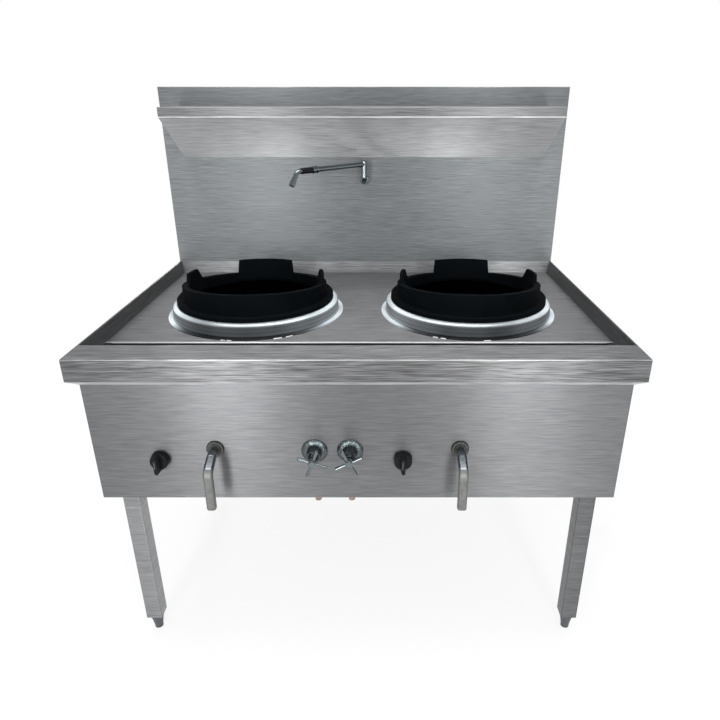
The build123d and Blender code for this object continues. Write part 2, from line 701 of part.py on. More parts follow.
# ---- Burners, one set a side ----------------------------------------------------------
lining_top = deck_z - collar_throat_drop - lining_top_gap
lug_foot = deck_z + ring_back - ring_flange
lug_ring_top = max(back_lug_top, side_lug_top)
lug_bore_r = ring_bore_r - lug_proud
wall_mid = deck_z + (ring_front + ring_back) / 2
slope = (ring_front - ring_back) / (2 * ring_wall_r)
bead_z = deck_z + collar_height
under_seat = ring_seat - gap - collar_wall
for name, side, _ in sides:
    x = side * burner_x
    upright = Axis((x, burner_y, 0), (0, 0, 1))
    section = Plane.XZ.offset(-burner_y)

    # Collar: spun sheet, flange on the deck, flared wall, rounded bead, annulus and throat.
    wall_top_r = x + collar_top_r - collar_lean
    wall_foot_r = x + collar_top_r + collar_lean
    throat_inner = x + collar_throat_r - collar_wall
    with BuildPart() as collar:
        with BuildSketch(section):
            with BuildLine():
                Polyline(
                    (wall_top_r, bead_z - bead_drop), (wall_foot_r, deck_z + collar_foot),
                    (wall_foot_r + collar_foot, deck_z + collar_wall),
                    (x + collar_top_r + collar_flange, deck_z + collar_wall),
                    (x + collar_top_r + collar_flange, deck_z),
                    (wall_foot_r + collar_foot - collar_wall, deck_z),
                    (wall_foot_r - collar_wall, deck_z + collar_foot),
                    (wall_top_r - collar_wall, bead_z - bead_drop - collar_wall),
                    (x + collar_seat_r, under_seat),
                    (x + collar_throat_r, under_seat),
                    (x + collar_throat_r, deck_z - collar_throat_drop),
                    (throat_inner, deck_z - collar_throat_drop),
                    (throat_inner, ring_seat - gap),
                    (x + collar_seat_r, ring_seat - gap),
                )
                ThreePointArc(
                    (x + collar_seat_r, ring_seat - gap),
                    (wall_top_r - collar_bead / 4, bead_z + collar_lean / 2),
                    (wall_top_r, bead_z - bead_drop),
                )
            make_face()
        revolve(axis=upright)
    keep(collar, f"{name}_collar")

    # Wok ring: cast flange and wall, its top cut on a slope, with three lugs for the wok.
    with BuildPart() as lug_wedges:
        for angle, arc, top, taper in (
            (90, back_lug_arc, back_lug_top, back_lug_taper),
            (side_lug_angle, side_lug_arc, side_lug_top, lug_taper),
            (180 - side_lug_angle, side_lug_arc, side_lug_top, lug_taper),
        ):
            foot_half = ring_wall_r * sin(radians(arc / 2))
            out = (cos(radians(angle)), sin(radians(angle)), 0)
            across = (-out[1], out[0], 0)
            start = (x + out[0] * ring_bore_r / 2, burner_y + out[1] * ring_bore_r / 2, 0)
            with BuildSketch(Plane(start, x_dir=across, z_dir=out)):
                with BuildLine():
                    Polyline(
                        (-foot_half, lug_foot), (foot_half, lug_foot),
                        (foot_half * taper, deck_z + top), (-foot_half * taper, deck_z + top),
                        close=True,
                    )
                make_face()
            extrude(amount=ring_wall_r)
    with BuildPart() as lugs:
        with BuildSketch(Plane.XY.offset(lug_foot)):
            with Locations((x, burner_y)):
                Circle(ring_wall_r - lug_inset)
                Circle(lug_bore_r, mode=Mode.SUBTRACT)
        extrude(amount=deck_z + lug_ring_top - lug_foot)
        add(lug_wedges.part, mode=Mode.INTERSECT)
    with BuildPart() as wok_ring:
        with BuildSketch(section):
            with BuildLine():
                Polyline(
                    (x + ring_bore_r, ring_seat), (x + ring_flange_r, ring_seat),
                    (x + ring_flange_r, ring_seat + ring_flange - ring_bevel),
                    (x + ring_flange_r - ring_bevel, ring_seat + ring_flange),
                    (x + ring_wall_r, ring_seat + ring_flange),
                    (x + ring_wall_r, deck_z + ring_front + gap),
                    (x + ring_bore_r, deck_z + ring_front + gap), close=True,
                )
            make_face()
        revolve(axis=upright)
        split(
            bisect_by=Plane((x, burner_y, wall_mid), z_dir=(0, slope, 1)), keep=Keep.BOTTOM
        )
        add(lugs.part)
        with BuildSketch(section):
            with BuildLine():
                Polyline(
                    (x, lug_foot), (x + lug_bore_r, lug_foot),
                    (x + lug_bore_r + lug_cone, deck_z + lug_ring_top + gap),
                    (x, deck_z + lug_ring_top + gap), close=True,
                )
            make_face()
        revolve(axis=upright, mode=Mode.SUBTRACT)
    keep(wok_ring, f"{name}_wok_ring")

    # Combustion chamber: steel can hung from the deck, ported at the back for the flue.
    port = block(
        (x - port_width / 2, burner_y, port_bottom),
        (x + port_width / 2, burner_y + chamber_r + gap, port_bottom + port_height),
    )
    pilot_spot = (x - stem_r - pilot_side, burner_y - head_r)
    with BuildPart() as chamber:
        with BuildSketch(Plane.XY.offset(chamber_bottom)):
            with Locations((x, burner_y)):
                Circle(chamber_r)
        extrude(amount=chamber_top - chamber_bottom)
        with BuildSketch(Plane.XY.offset(chamber_top)):
            with Locations((x, burner_y)):
                Circle(chamber_r + chamber_flange)
        extrude(amount=-chamber_wall)
        with BuildSketch(Plane.XY.offset(chamber_bottom + chamber_wall)):
            with Locations((x, burner_y)):
                Circle(chamber_r - chamber_wall)
        extrude(amount=chamber_top - chamber_bottom, mode=Mode.SUBTRACT)
        with BuildSketch(Plane.XY.offset(chamber_bottom)):
            with Locations((x, burner_y)):
                Circle(stem_r + pipe_hole)
            with Locations(pilot_spot):
                Circle(pilot_pipe_r + pipe_hole)
        extrude(amount=chamber_wall, mode=Mode.SUBTRACT)
        add(port, mode=Mode.SUBTRACT)
    keep(chamber, f"{name}_chamber")

    # Refractory lining: thick ring standing on the chamber's floor, with the same port.
    with BuildPart() as lining:
        with BuildSketch(Plane.XY.offset(chamber_bottom + chamber_wall)):
            with Locations((x, burner_y)):
                Circle(lining_r)
                Circle(lining_r - lining_wall, mode=Mode.SUBTRACT)
        extrude(amount=lining_top - chamber_bottom - chamber_wall)
        add(port, mode=Mode.SUBTRACT)
    keep(lining, f"{name}_lining")

    # Burner head: cast disc on a stem, carrying rings of tapered hexagon jets.
    with BuildPart() as burner_head:
        with BuildSketch(Plane.XY.offset(head_bottom)):
            with Locations((x, burner_y)):
                Circle(head_r)
        extrude(amount=head_thickness)
        with BuildSketch(Plane.XY.offset(head_bottom)):
            with Locations((x, burner_y)):
                Circle(stem_r)
        extrude(amount=chamber_bottom - head_bottom)
        with BuildSketch(Plane.XY.offset(head_bottom + head_thickness)):
            with Locations((x, burner_y)):
                RegularPolygon(jet_width / 2, 6, major_radius=False)
                for ring in range(1, jet_rings + 1):
                    with PolarLocations(ring * jet_row_step, ring * jets_in_ring):
                        RegularPolygon(jet_width / 2, 6, major_radius=False)
        extrude(amount=jet_height, taper=jet_taper)
    keep(burner_head, f"{name}_burner_head")

    # Flue duct: square duct from the chamber's port to the flue's floor.
    duct_outer = block(
        (x - duct_width / 2, duct_front, duct_low), (x + duct_width / 2, duct_back, duct_high)
    )
    duct_riser = block(
        (x - duct_width / 2, riser_front, duct_high), (x + duct_width / 2, duct_back, return_z)
    )
    duct_inner = block(
        (x - duct_width / 2 + sheet, duct_front, duct_low + sheet),
        (x + duct_width / 2 - sheet, duct_back - sheet, duct_high - sheet),
    )
    riser_inner = block(
        (x - duct_width / 2 + sheet, riser_front + sheet, duct_low + sheet),
        (x + duct_width / 2 - sheet, duct_back - sheet, return_z),
    )
    with BuildPart() as flue_duct:
        add([duct_outer, duct_riser])
        add([duct_inner, riser_inner], mode=Mode.SUBTRACT)
    keep(flue_duct, f"{name}_flue_duct")

# ---- Gas --------------------------------------------------------------------------------
valve_y = panel_y + valve_front
valve_low = lever_z - valve_size / 2
with BuildPart() as lever_bushes:
    with BuildSketch(Plane.XZ.offset(-panel_y)):
        with Locations(*[(x, lever_z) for x in lever_x]):
            Circle(bush_r)
            Circle(spindle_r + fit, mode=Mode.SUBTRACT)
    extrude(amount=bush_thickness)
    rims = edges().filter_by(GeomType.CIRCLE).group_by(Axis.Y)[0].sort_by(SortBy.RADIUS)
    chamfer(rims[-len(lever_x):], bush_bevel)
    with BuildSketch(Plane.XZ.offset(-panel_y)):
        with Locations(*[(x, lever_z) for x in lever_x]):
            Circle(spindle_r + bush_sleeve)
            Circle(spindle_r + fit, mode=Mode.SUBTRACT)
    extrude(amount=-valve_front)
keep(lever_bushes, "lever_bushes")

with BuildPart() as gas_valves:
    with BuildSketch(Plane.XZ.offset(-valve_y)):
        with Locations(*[(x, lever_z) for x in lever_x]):
            Rectangle(valve_size, valve_size)
    extrude(amount=-valve_length)
    with BuildSketch(Plane.XZ.offset(-valve_y)):
        with Locations(*[(x, lever_z) for x in lever_x]):
            Circle(spindle_r + fit)
    extrude(amount=-valve_length / 2, mode=Mode.SUBTRACT)
keep(gas_valves, "gas_valves")

# Gas lever: spindle and round shaft, then a flat bar cranked down into an upright grip.
for name, _, which in sides:
    x = lever_x[which]
    bend_y = panel_y - lever_reach
    grip_end = lever_z - lever_drop
    with BuildPart() as gas_lever:
        with BuildSketch(Plane.XZ.offset(bush_thickness + gap - panel_y)):
            with Locations((x, lever_z)):
                Circle(lever_shaft_r)
        extrude(amount=lever_shaft)
        with BuildSketch(Plane.XZ.offset(bush_thickness + gap - panel_y)):
            with Locations((x, lever_z)):
                Circle(spindle_r)
        extrude(amount=-(bush_thickness + valve_front + valve_length / 2 - sheet))
        with BuildLine() as bar_path:
            FilletPolyline(
                (x, panel_y - lever_shaft + lever_lap, lever_z),
                (x, bend_y, lever_z - lever_crank), (x, bend_y, grip_end), radius=lever_bend,
            )
        with BuildSketch(Plane(bar_path.line @ 0, x_dir=(1, 0, 0), z_dir=bar_path.line % 0)):
            RectangleRounded(grip_width, grip_depth, grip_round)
        sweep(path=bar_path.line)
        fillet(faces().sort_by(Axis.Z)[0].edges(), grip_end_round)
    keep(gas_lever, f"{name}_gas_lever")

# Pilot valves, each with the push rod and pointer knob that work it.
with BuildPart() as pilot_valves:
    with BuildSketch(Plane.XZ.offset(-panel_y - sheet)):
        with Locations(*[(x, knob_z) for x in knob_x]):
            Rectangle(pilot_valve_width, pilot_valve_height)
    extrude(amount=-pilot_valve_length)
    with BuildSketch(Plane.XZ.offset(-panel_y - sheet)):
        with Locations(*[(x, knob_z) for x in knob_x]):
            Circle(stem_rod_r + fit)
    extrude(amount=pilot_valve_wall - pilot_valve_length, mode=Mode.SUBTRACT)
keep(pilot_valves, "pilot_valves")

knob_back = panel_y - knob_push - knob_clear
knob_face = knob_back - knob_skirt
stem_end = panel_y + sheet + pilot_valve_length - pilot_valve_wall - knob_push - knob_clear
for name, _, which in sides:
    x = knob_x[which]
    with BuildPart() as knob_stem:
        with BuildSketch(Plane.XZ.offset(-knob_face - sheet)):
            with Locations((x, knob_z)):
                Circle(stem_rod_r)
        extrude(amount=knob_face + sheet - stem_end)
    keep(knob_stem, f"{name}_knob_stem")

    with BuildPart() as knob:
        with BuildSketch(Plane.YZ.offset(x)):
            with BuildLine():
                Polyline(
                    (knob_back, knob_z), (knob_back, knob_z + knob_r),
                    (knob_face + knob_bevel, knob_z + knob_face_r + knob_bevel),
                    (knob_face, knob_z + knob_face_r), (knob_face, knob_z), close=True,
                )
            make_face()
        revolve(axis=Axis((x, 0, knob_z), (0, 1, 0)))
        with BuildSketch(Plane.XZ.offset(-knob_face - sheet)):
            with Locations((x, knob_z)):
                SlotOverall(2 * (knob_r - knob_grip_inset), knob_grip_width, rotation=90)
        extrude(amount=knob_grip + sheet, taper=knob_grip_taper)
        fillet(edges().group_by(Axis.Y)[0], knob_round)
        with BuildSketch(Plane.XZ.offset(-knob_back)):
            with Locations((x, knob_z)):
                Circle(stem_rod_r + fit)
        extrude(amount=knob_skirt - sheet + gap, mode=Mode.SUBTRACT)
    keep(knob, f"{name}_knob")

# Manifold: behind the front panel, back past the left chamber, inward and down to its end.
manifold_y = leg_front_y + leg_size / 2 + manifold_r + manifold_clear
manifold_x = -burner_x - chamber_r - manifold_r - manifold_clear
gas_inlet_x = -burner_x - gas_inlet_side
inlet_y = back - gas_inlet_inset
manifold_run = pipe(
    manifold_r, manifold_bend,
    (lever_x[1] + valve_size / 2, manifold_y, lever_z), (manifold_x, manifold_y, lever_z),
    (manifold_x, inlet_y, lever_z), (gas_inlet_x, inlet_y, lever_z),
    (gas_inlet_x, inlet_y, inlet_low),
)
valve_back = valve_y + valve_length
pilot_back = panel_y + sheet + pilot_valve_length
pilot_feed_z = knob_z + pilot_valve_height / 2 - 2 * pilot_pipe_r
with BuildPart() as gas_manifold:
    add(manifold_run)
    with BuildSketch(Plane.XZ.offset(-valve_back)):
        with Locations(*[(x, lever_z) for x in lever_x]):
            Circle(branch_r)
    extrude(amount=valve_back - manifold_y)
    with BuildSketch(Plane.XZ.offset(-pilot_back)):
        with Locations(*[(x, pilot_feed_z) for x in knob_x]):
            Circle(pilot_pipe_r)
    extrude(amount=pilot_back - manifold_y)
keep(gas_manifold, "gas_manifold")

valve_mid = valve_y + valve_length / 2
burner_pipe_z = chamber_bottom - burner_pipe_drop
burner_runs = [
    pipe(
        burner_pipe_r, burner_pipe_bend,
        (lever_x[which], valve_mid, valve_low), (lever_x[which], valve_mid, burner_pipe_z),
        (side * burner_x, burner_y, burner_pipe_z), (side * burner_x, burner_y, chamber_bottom),
    )
    for _, side, which in sides
]
with BuildPart() as burner_pipes:
    add(burner_runs)
keep(burner_pipes, "burner_pipes")

pilot_mid = panel_y + sheet + pilot_valve_length / 2
pilot_pipe_z = chamber_bottom - pilot_pipe_drop
pilot_end = head_bottom + head_thickness + pilot_tip
pilot_runs = [
    pipe(
        pilot_pipe_r, pilot_pipe_bend,
        (knob_x[which], pilot_mid, knob_z - pilot_valve_height / 2),
        (knob_x[which], pilot_mid, pilot_pipe_z),
        (side * burner_x - stem_r - pilot_side, burner_y - head_r, pilot_pipe_z),
        (side * burner_x - stem_r - pilot_side, burner_y - head_r, pilot_end),
    )
    for _, side, which in sides
]
with BuildPart() as pilot_burners:
    add(pilot_runs)
keep(pilot_burners, "pilot_burners")

# ---- Water ------------------------------------------------------------------------------
# Tap bodies: domed flange and bonnet in front of the panel, valve block behind it.
block_y = panel_y + sheet
flange_face = panel_y - tap_flange
bonnet_end = panel_y - tap_plane + tap_hub / 2 + tap_hub_gap
cap_foot = bonnet_end + tap_cap_length
with BuildPart() as tap_bodies:
    for x in tap_x:
        with BuildSketch(Plane.YZ.offset(x)):
            with BuildLine():
                Polyline(
                    (block_y, tap_z), (bonnet_end, tap_z), (bonnet_end, tap_z + tap_hub_r),
                    (cap_foot, tap_z + tap_hole_r),
                    (cap_foot, tap_z + tap_bonnet_r), (flange_face, tap_z + tap_bonnet_r + tap_neck),
                )
                ThreePointArc(
                    (flange_face, tap_z + tap_bonnet_r + tap_neck),
                    (flange_face + tap_flange_edge, tap_z + (tap_bonnet_r + tap_flange_r) / 2),
                    (panel_y - tap_flange_edge, tap_z + tap_flange_r),
                )
                Polyline(
                    (panel_y - tap_flange_edge, tap_z + tap_flange_r),
                    (panel_y, tap_z + tap_flange_r), (panel_y, tap_z + tap_hole_r - gap),
                    (block_y, tap_z + tap_hole_r - gap), (block_y, tap_z),
                )
            make_face()
        revolve(axis=Axis((x, 0, tap_z), (0, 1, 0)))
    with BuildSketch(Plane.XZ.offset(-block_y)):
        with Locations(*[(x, tap_z) for x in tap_x]):
            Rectangle(tap_block, tap_block)
    extrude(amount=-tap_block_length)
    with BuildSketch(Plane.XZ.offset(-bonnet_end)):
        with Locations(*[(x, tap_z) for x in tap_x]):
            Circle(stem_rod_r + fit)
    extrude(amount=-tap_spindle - sheet, mode=Mode.SUBTRACT)
keep(tap_bodies, "tap_bodies")

# Cross handles: turned hub on a spindle with four round arms that swell to their ends.
hub_face = panel_y - tap_plane - tap_hub / 2
for name, _, which in sides:
    x = tap_x[which]
    with BuildPart() as tap_handle:
        with BuildSketch(Plane.XZ.offset(-hub_face)):
            with Locations((x, tap_z)):
                Circle(tap_hub_r)
        extrude(amount=-tap_hub)
        chamfer(edges().group_by(Axis.Y)[0], tap_hub_bevel)
        with BuildSketch(Plane.XZ.offset(-hub_face - tap_hub)):
            with Locations((x, tap_z)):
                Circle(stem_rod_r)
        extrude(amount=-tap_hub_gap - tap_spindle)
        for arm in range(4):
            angle = radians(tap_turn[which] + 90 * arm)
            out = (cos(angle), 0, sin(angle))
            hub_centre = (x, panel_y - tap_plane, tap_z)
            arm_end = tap_span / 2
            with BuildSketch(Plane(hub_centre, x_dir=out, z_dir=(-out[2], 0, out[0]))):
                with BuildLine():
                    Polyline(
                        (0, 0), (0, tap_arm_r), (tap_hub_r, tap_arm_r),
                        (arm_end - tap_arm_bevel, tap_arm_end_r),
                        (arm_end, tap_arm_end_r - tap_arm_bevel), (arm_end, 0), close=True,
                    )
                make_face()
            revolve(axis=Axis(hub_centre, out))
    keep(tap_handle, f"{name}_tap_handle")

# Water pipes: a supply up to each tap, and a bridge and riser on to the spout.
tap_mid = block_y + tap_block_length / 2
supply_y = panel_y + panel_flange + water_pipe_r + supply_clear
block_top = tap_z + tap_block / 2
riser_y = flue_y + riser_back
bridge_z = tap_z + riser_height
bridge = pipe(
    water_pipe_r, bridge_bend, (tap_x[0], tap_mid, block_top), (tap_x[0], tap_mid, bridge_z),
    (tap_x[1], tap_mid, bridge_z), (tap_x[1], tap_mid, block_top),
)
riser = pipe(
    water_pipe_r, riser_bend, (riser_x, tap_mid, bridge_z), (riser_x, riser_y, bridge_z),
    (riser_x, riser_y, spout_z - riser_jog), (0, riser_y, spout_z - riser_jog),
    (0, riser_y, spout_z), (0, flue_y + 2 * sheet, spout_z),
)
with BuildPart() as water_pipes:
    with BuildSketch(Plane.XY.offset(tap_z - tap_block / 2)):
        with Locations(*[(x, supply_y) for x in tap_x]):
            Circle(water_pipe_r)
    extrude(amount=inlet_low - tap_z + tap_block / 2)
    add(bridge)
    with Locations((riser_x, tap_mid, bridge_z)):
        Box(tee_size, tee_size, tee_size)
    add(riser)
keep(water_pipes, "water_pipes")

# Spout: fixed wall stub and column, then the arm that swings on it.
column_y = splash_y - spout_out
spout_seam = spout_z + spout_seam_rise
spout_top = spout_z + spout_top_rise
spout_arm_z = spout_z + spout_arm_rise
rose_face = splash_y - spout_rose
stub = pipe(
    spout_column_r, spout_bend,
    (0, flue_y + 2 * sheet, spout_z), (0, column_y, spout_z), (0, column_y, spout_seam),
)
with BuildPart() as spout_body:
    add(stub)
    with BuildSketch(Plane.YZ):
        with BuildLine():
            Polyline(
                (splash_y, spout_z), (splash_y, spout_z + spout_rose_r),
                (rose_face + spout_rose_bevel, spout_z + spout_rose_r),
                (rose_face, spout_z + spout_rose_r - spout_rose_bevel),
                (rose_face, spout_z), close=True,
            )
        make_face()
    revolve(axis=Axis((0, 0, spout_z), (0, 1, 0)))
    with BuildSketch(Plane.XY.offset(spout_seam)):
        with Locations((0, column_y)):
            Circle(spout_pivot_r + fit)
    extrude(amount=-spout_pivot - sheet, mode=Mode.SUBTRACT)
keep(spout_body, "spout_body")

swing = radians(spout_swing)
reach_dir = (-cos(swing), -sin(swing), 0)
arm_centre = (0, column_y, spout_arm_z)
arm_plane = Plane(arm_centre, x_dir=reach_dir, z_dir=(-sin(swing), cos(swing), 0))
ring_r = spout_arm_r + knuckle_proud
first_ring = spout_knuckle + knuckle_ring
second_ring = first_ring + knuckle_gap
with BuildPart() as spout_arm:
    with BuildSketch(Plane.XY.offset(spout_seam + gap)):
        with Locations((0, column_y)):
            Circle(spout_cap_r)
    extrude(amount=spout_top - spout_seam - gap)
    chamfer(edges().group_by(Axis.Z)[-1], spout_cap_bevel)
    with BuildSketch(Plane.XY.offset(spout_seam + gap)):
        with Locations((0, column_y)):
            Circle(spout_pivot_r)
    extrude(amount=-spout_pivot)
    with BuildSketch(arm_plane):
        with BuildLine():
            Polyline(
                (0, 0), (0, spout_arm_r), (spout_knuckle, spout_arm_r),
                (spout_knuckle + sheet, ring_r), (first_ring - sheet, ring_r),
                (first_ring, spout_arm_r), (second_ring, spout_arm_r),
                (second_ring + sheet, ring_r), (spout_sleeve - sheet, ring_r),
                (spout_sleeve, spout_arm_r), (spout_sleeve, spout_arm_r - sheet),
                (spout_sleeve_end, spout_arm_r - sheet), (spout_sleeve_end, 0), close=True,
            )
        make_face()
    revolve(axis=Axis(arm_centre, reach_dir))
keep(spout_arm, "spout_arm")

sleeve_r = spout_arm_r + sleeve_proud
with BuildPart() as spout_grip:
    with BuildSketch(arm_plane):
        with BuildLine():
            Polyline(
                (spout_sleeve, spout_arm_r - sheet), (spout_sleeve, sleeve_r - sleeve_bevel / 2),
                (spout_sleeve + sleeve_bevel, sleeve_r), (spout_sleeve_end - sleeve_bevel, sleeve_r),
                (spout_sleeve_end, sleeve_r - sleeve_bevel / 2),
                (spout_sleeve_end, spout_arm_r - sheet), close=True,
            )
        make_face()
    revolve(axis=Axis(arm_centre, reach_dir))
keep(spout_grip, "spout_grip")

# Nozzle: bend out of the sleeve and a thicker aerator pointing down.
nozzle_start = arm_plane.from_local_coords((spout_sleeve_end, 0, 0))
nozzle_bend = arm_plane.from_local_coords((spout_reach - spout_nozzle_lean, 0, 0))
nozzle_tip = arm_plane.from_local_coords((spout_reach, -spout_nozzle_drop, 0))
with BuildPart() as spout_nozzle:
    with BuildLine() as nozzle_path:
        FilletPolyline(nozzle_start, nozzle_bend, nozzle_tip, radius=spout_nozzle_bend)
    with BuildSketch(Plane(nozzle_start, z_dir=nozzle_path.line % 0)):
        Circle(spout_nozzle_r)
    sweep(path=nozzle_path.line)
    with BuildSketch(Plane(nozzle_tip, z_dir=nozzle_path.line % 1)):
        Circle(aerator_r)
    extrude(amount=-aerator_length)
    with BuildSketch(Plane(nozzle_tip, z_dir=nozzle_path.line % 1)):
        Circle(aerator_bore_r)
    extrude(amount=-aerator_bore, mode=Mode.SUBTRACT)
keep(spout_nozzle, "spout_nozzle")
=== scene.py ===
import bmesh
import bpy
from math import asin, cos, pi, radians, sin
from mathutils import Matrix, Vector


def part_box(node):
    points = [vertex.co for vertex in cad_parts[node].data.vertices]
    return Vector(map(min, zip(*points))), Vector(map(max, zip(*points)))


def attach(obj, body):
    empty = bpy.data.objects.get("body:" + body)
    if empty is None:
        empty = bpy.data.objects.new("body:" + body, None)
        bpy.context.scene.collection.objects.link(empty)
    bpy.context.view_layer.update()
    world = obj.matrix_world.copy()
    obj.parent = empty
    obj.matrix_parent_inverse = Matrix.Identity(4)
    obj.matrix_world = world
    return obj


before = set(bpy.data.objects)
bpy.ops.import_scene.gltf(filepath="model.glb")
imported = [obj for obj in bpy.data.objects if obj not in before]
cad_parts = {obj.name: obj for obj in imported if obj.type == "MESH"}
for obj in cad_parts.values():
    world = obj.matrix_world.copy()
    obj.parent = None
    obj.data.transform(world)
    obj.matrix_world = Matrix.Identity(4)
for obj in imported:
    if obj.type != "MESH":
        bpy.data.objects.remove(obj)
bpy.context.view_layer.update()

# ---- Legs, rails and threaded inserts --------------------------------------------------
# Four legs of 40 mm square stainless tube, ground across their length, with painted light on
# their sides and painted shade that grows towards the right. Rails of rectangular tube tie them
# together under the panels, and a threaded insert closes each leg for its foot.
LEG_GREY = (0.22, 0.224, 0.228)
LEG_NAMES = ("front_left", "front_right", "back_left", "back_right")
LEG_CORNER = 0.001                     # rounding of the tube's corners
FINE_SCRATCHES = (900.0, 20.0)         # to the metre, across and along the grain
LONG_SCRATCHES = (480.0, 8.0)
CLOUDS_PER_M = 2.4
FOLD_ANGLE = 35                        # sharper edges than this get rounded


def new_material(name):
    """An empty material and its shader, ready for the finish."""
    material = bpy.data.materials.new(name)
    material.use_nodes = True
    return material, material.node_tree, material.node_tree.nodes["Principled BSDF"]


def add_node(tree, kind, **settings):
    """A shader node; a setting whose name is a socket's goes on that socket."""
    made = tree.nodes.new(kind)
    for key, value in settings.items():
        if hasattr(made, key):
            setattr(made, key, value)
        else:
            made.inputs[key.replace("_", " ")].default_value = value
    return made


def grain(tree, scale, detail=2.0, place=(0.0, 0.0, 0.0)):
    """Noise over the object's own coordinates, stretched by the scale given per axis."""
    coords = add_node(tree, "ShaderNodeTexCoord")
    stretch = add_node(tree, "ShaderNodeMapping", Scale=scale, Location=place)
    noise = add_node(tree, "ShaderNodeTexNoise", Scale=1.0, Detail=detail)
    tree.links.new(coords.outputs["Object"], stretch.inputs["Vector"])
    tree.links.new(stretch.outputs["Vector"], noise.inputs["Vector"])
    return noise.outputs["Fac"]


def remap(tree, value, low, high, start=0.3, end=0.7):
    """A value that runs from start to end, spread from low to high."""
    spread = add_node(tree, "ShaderNodeMapRange", From_Min=start, From_Max=end,
                      To_Min=low, To_Max=high)
    tree.links.new(value, spread.inputs["Value"])
    return spread.outputs["Result"]


def times(tree, one, other):
    """The product of two values."""
    product = add_node(tree, "ShaderNodeMath", operation="MULTIPLY")
    tree.links.new(one, product.inputs[0])
    tree.links.new(other, product.inputs[1])
    return product.outputs["Value"]


def tint(tree, shader, colour, factor):
    """The base colour, made lighter and darker by the factor."""
    scaled = add_node(tree, "ShaderNodeVectorMath", operation="SCALE")
    scaled.inputs[0].default_value = colour
    tree.links.new(factor, scaled.inputs["Scale"])
    tree.links.new(scaled.outputs["Vector"], shader.inputs["Base Color"])


def painted_light_by_facing(tree, facing, change):
    """Painted light and shade: a change of tone where the sheet faces one way, such as a painted
    highlight along a fold.
    """
    coords = add_node(tree, "ShaderNodeTexCoord")
    turned = add_node(tree, "ShaderNodeVectorMath", operation="DOT_PRODUCT")
    turned.inputs[1].default_value = facing
    tree.links.new(coords.outputs["Normal"], turned.inputs[0])
    return remap(tree, turned.outputs["Value"], 1.0, change, 0.92, 0.985)


def painted_shade_along(tree, axis, start, end, change):
    """Painted shade: a change of tone from one place to another along an axis."""
    coords = add_node(tree, "ShaderNodeTexCoord")
    parts = add_node(tree, "ShaderNodeSeparateXYZ")
    tree.links.new(coords.outputs["Object"], parts.inputs["Vector"])
    return remap(tree, parts.outputs[axis], 1.0, change, start, end)


def with_grain(along, rates, coarse):
    """A scale for each axis: many marks across the grain and few along it."""
    return [(rates[1] if axis in along else rates[0]) / coarse for axis in "XYZ"]


def brushed_sheet(name, colour, along, streaks=0.4, bands=0.06, rough=0.4, metal=0.7,
                  place=0.0, coarse=1.0, faces=(), run=None):
    """Ground stainless: straight fine scratches along one or two axes, some longer, and broad
    clouds of tone that are partly uneven grinding and partly a mild painted sheen.

    faces lists (facing, change of tone) for painted light and shade on faces that look one way,
    and run is (axis, start, end, change of tone) for painted shade along an axis."""
    material, tree, shader = new_material(name)
    scratches = grain(tree, with_grain(along, FINE_SCRATCHES, coarse), 2.0, (place,) * 3)
    streaky = grain(tree, with_grain(along, LONG_SCRATCHES, coarse), 1.0, (place,) * 3)
    # Broad clouds of tone, partly uneven grinding and partly a mild painted sheen.
    banding = grain(tree, (CLOUDS_PER_M,) * 3, 0.0, (place, 0.0, 0.0))
    factor = times(tree, remap(tree, scratches, 1 - streaks, 1 + streaks),
                   remap(tree, streaky, 1 - streaks / 2, 1 + streaks / 2))
    factor = times(tree, factor, remap(tree, banding, 1 - bands, 1 + bands))
    # Painted light and shade on faces that look one way.
    for facing, change in faces:
        factor = times(tree, factor, painted_light_by_facing(tree, facing, change))
    # Painted shade along an axis.
    if run:
        factor = times(tree, factor, painted_shade_along(tree, *run))
    tint(tree, shader, colour, factor)
    tree.links.new(remap(tree, scratches, rough - 0.06, rough + 0.06),
                   shader.inputs["Roughness"])
    shader.inputs["Metallic"].default_value = metal
    shader.inputs["Anisotropic"].default_value = 0.9
    turned = add_node(tree, "ShaderNodeTangent", direction_type="RADIAL")
    turned.axis = along if len(along) == 1 else "Z"
    shader.inputs["Anisotropic Rotation"].default_value = 0.0 if len(along) == 1 else 0.25
    tree.links.new(turned.outputs["Tangent"], shader.inputs["Tangent"])
    return material


def finish_with(material, *names):
    """Gives CAD pieces their finish."""
    for name in names:
        for slot in cad_parts[name].material_slots:
            slot.material = material


def ease_edges(width, *names):
    """Rounds the folded edges of CAD pieces a little, so that they catch the light."""
    for name in names:
        easing = cad_parts[name].modifiers.new("eased_edges", "BEVEL")
        easing.width = width
        easing.segments = 3
        easing.limit_method = "ANGLE"
        easing.angle_limit = radians(FOLD_ANGLE)
        easing.harden_normals = True


# Legs and side rails: sides facing left and right painted lighter as painted light, and the whole
# darker towards the right as painted shade.
leg_steel = brushed_sheet("leg_steel", LEG_GREY, "XY", streaks=0.35, bands=0.05, coarse=0.8,
                          faces=(((1.0, 0.0, 0.0), 1.5), ((-1.0, 0.0, 0.0), 1.5)),
                          run=("X", 0.1, 0.5, 0.5))
legs = [f"{corner}_leg" for corner in LEG_NAMES]
finish_with(leg_steel, *legs)
finish_with(leg_steel, "left_rail", "right_rail")
ease_edges(LEG_CORNER, *legs)
finish_with(brushed_sheet("rail_steel", LEG_GREY, "X"), "front_rail", "back_rail", "leg_inserts")

# ---- Feet ------------------------------------------------------------------------------
# Adjustable feet, each a tapered steel cup on a threaded stem, enamelled dark grey. It screws
# into its leg's insert, and is turned in or out to level the range.
FOOT_GREY = (0.045, 0.048, 0.055)
COAT_MOTTLE = 0.12                     # how uneven a sprayed colour is


def relief(tree, shader, value, depth):
    """Fine relief from the same noise."""
    bump = add_node(tree, "ShaderNodeBump", Distance=depth, Strength=1.0)
    tree.links.new(value, bump.inputs["Height"])
    tree.links.new(bump.outputs["Normal"], shader.inputs["Normal"])


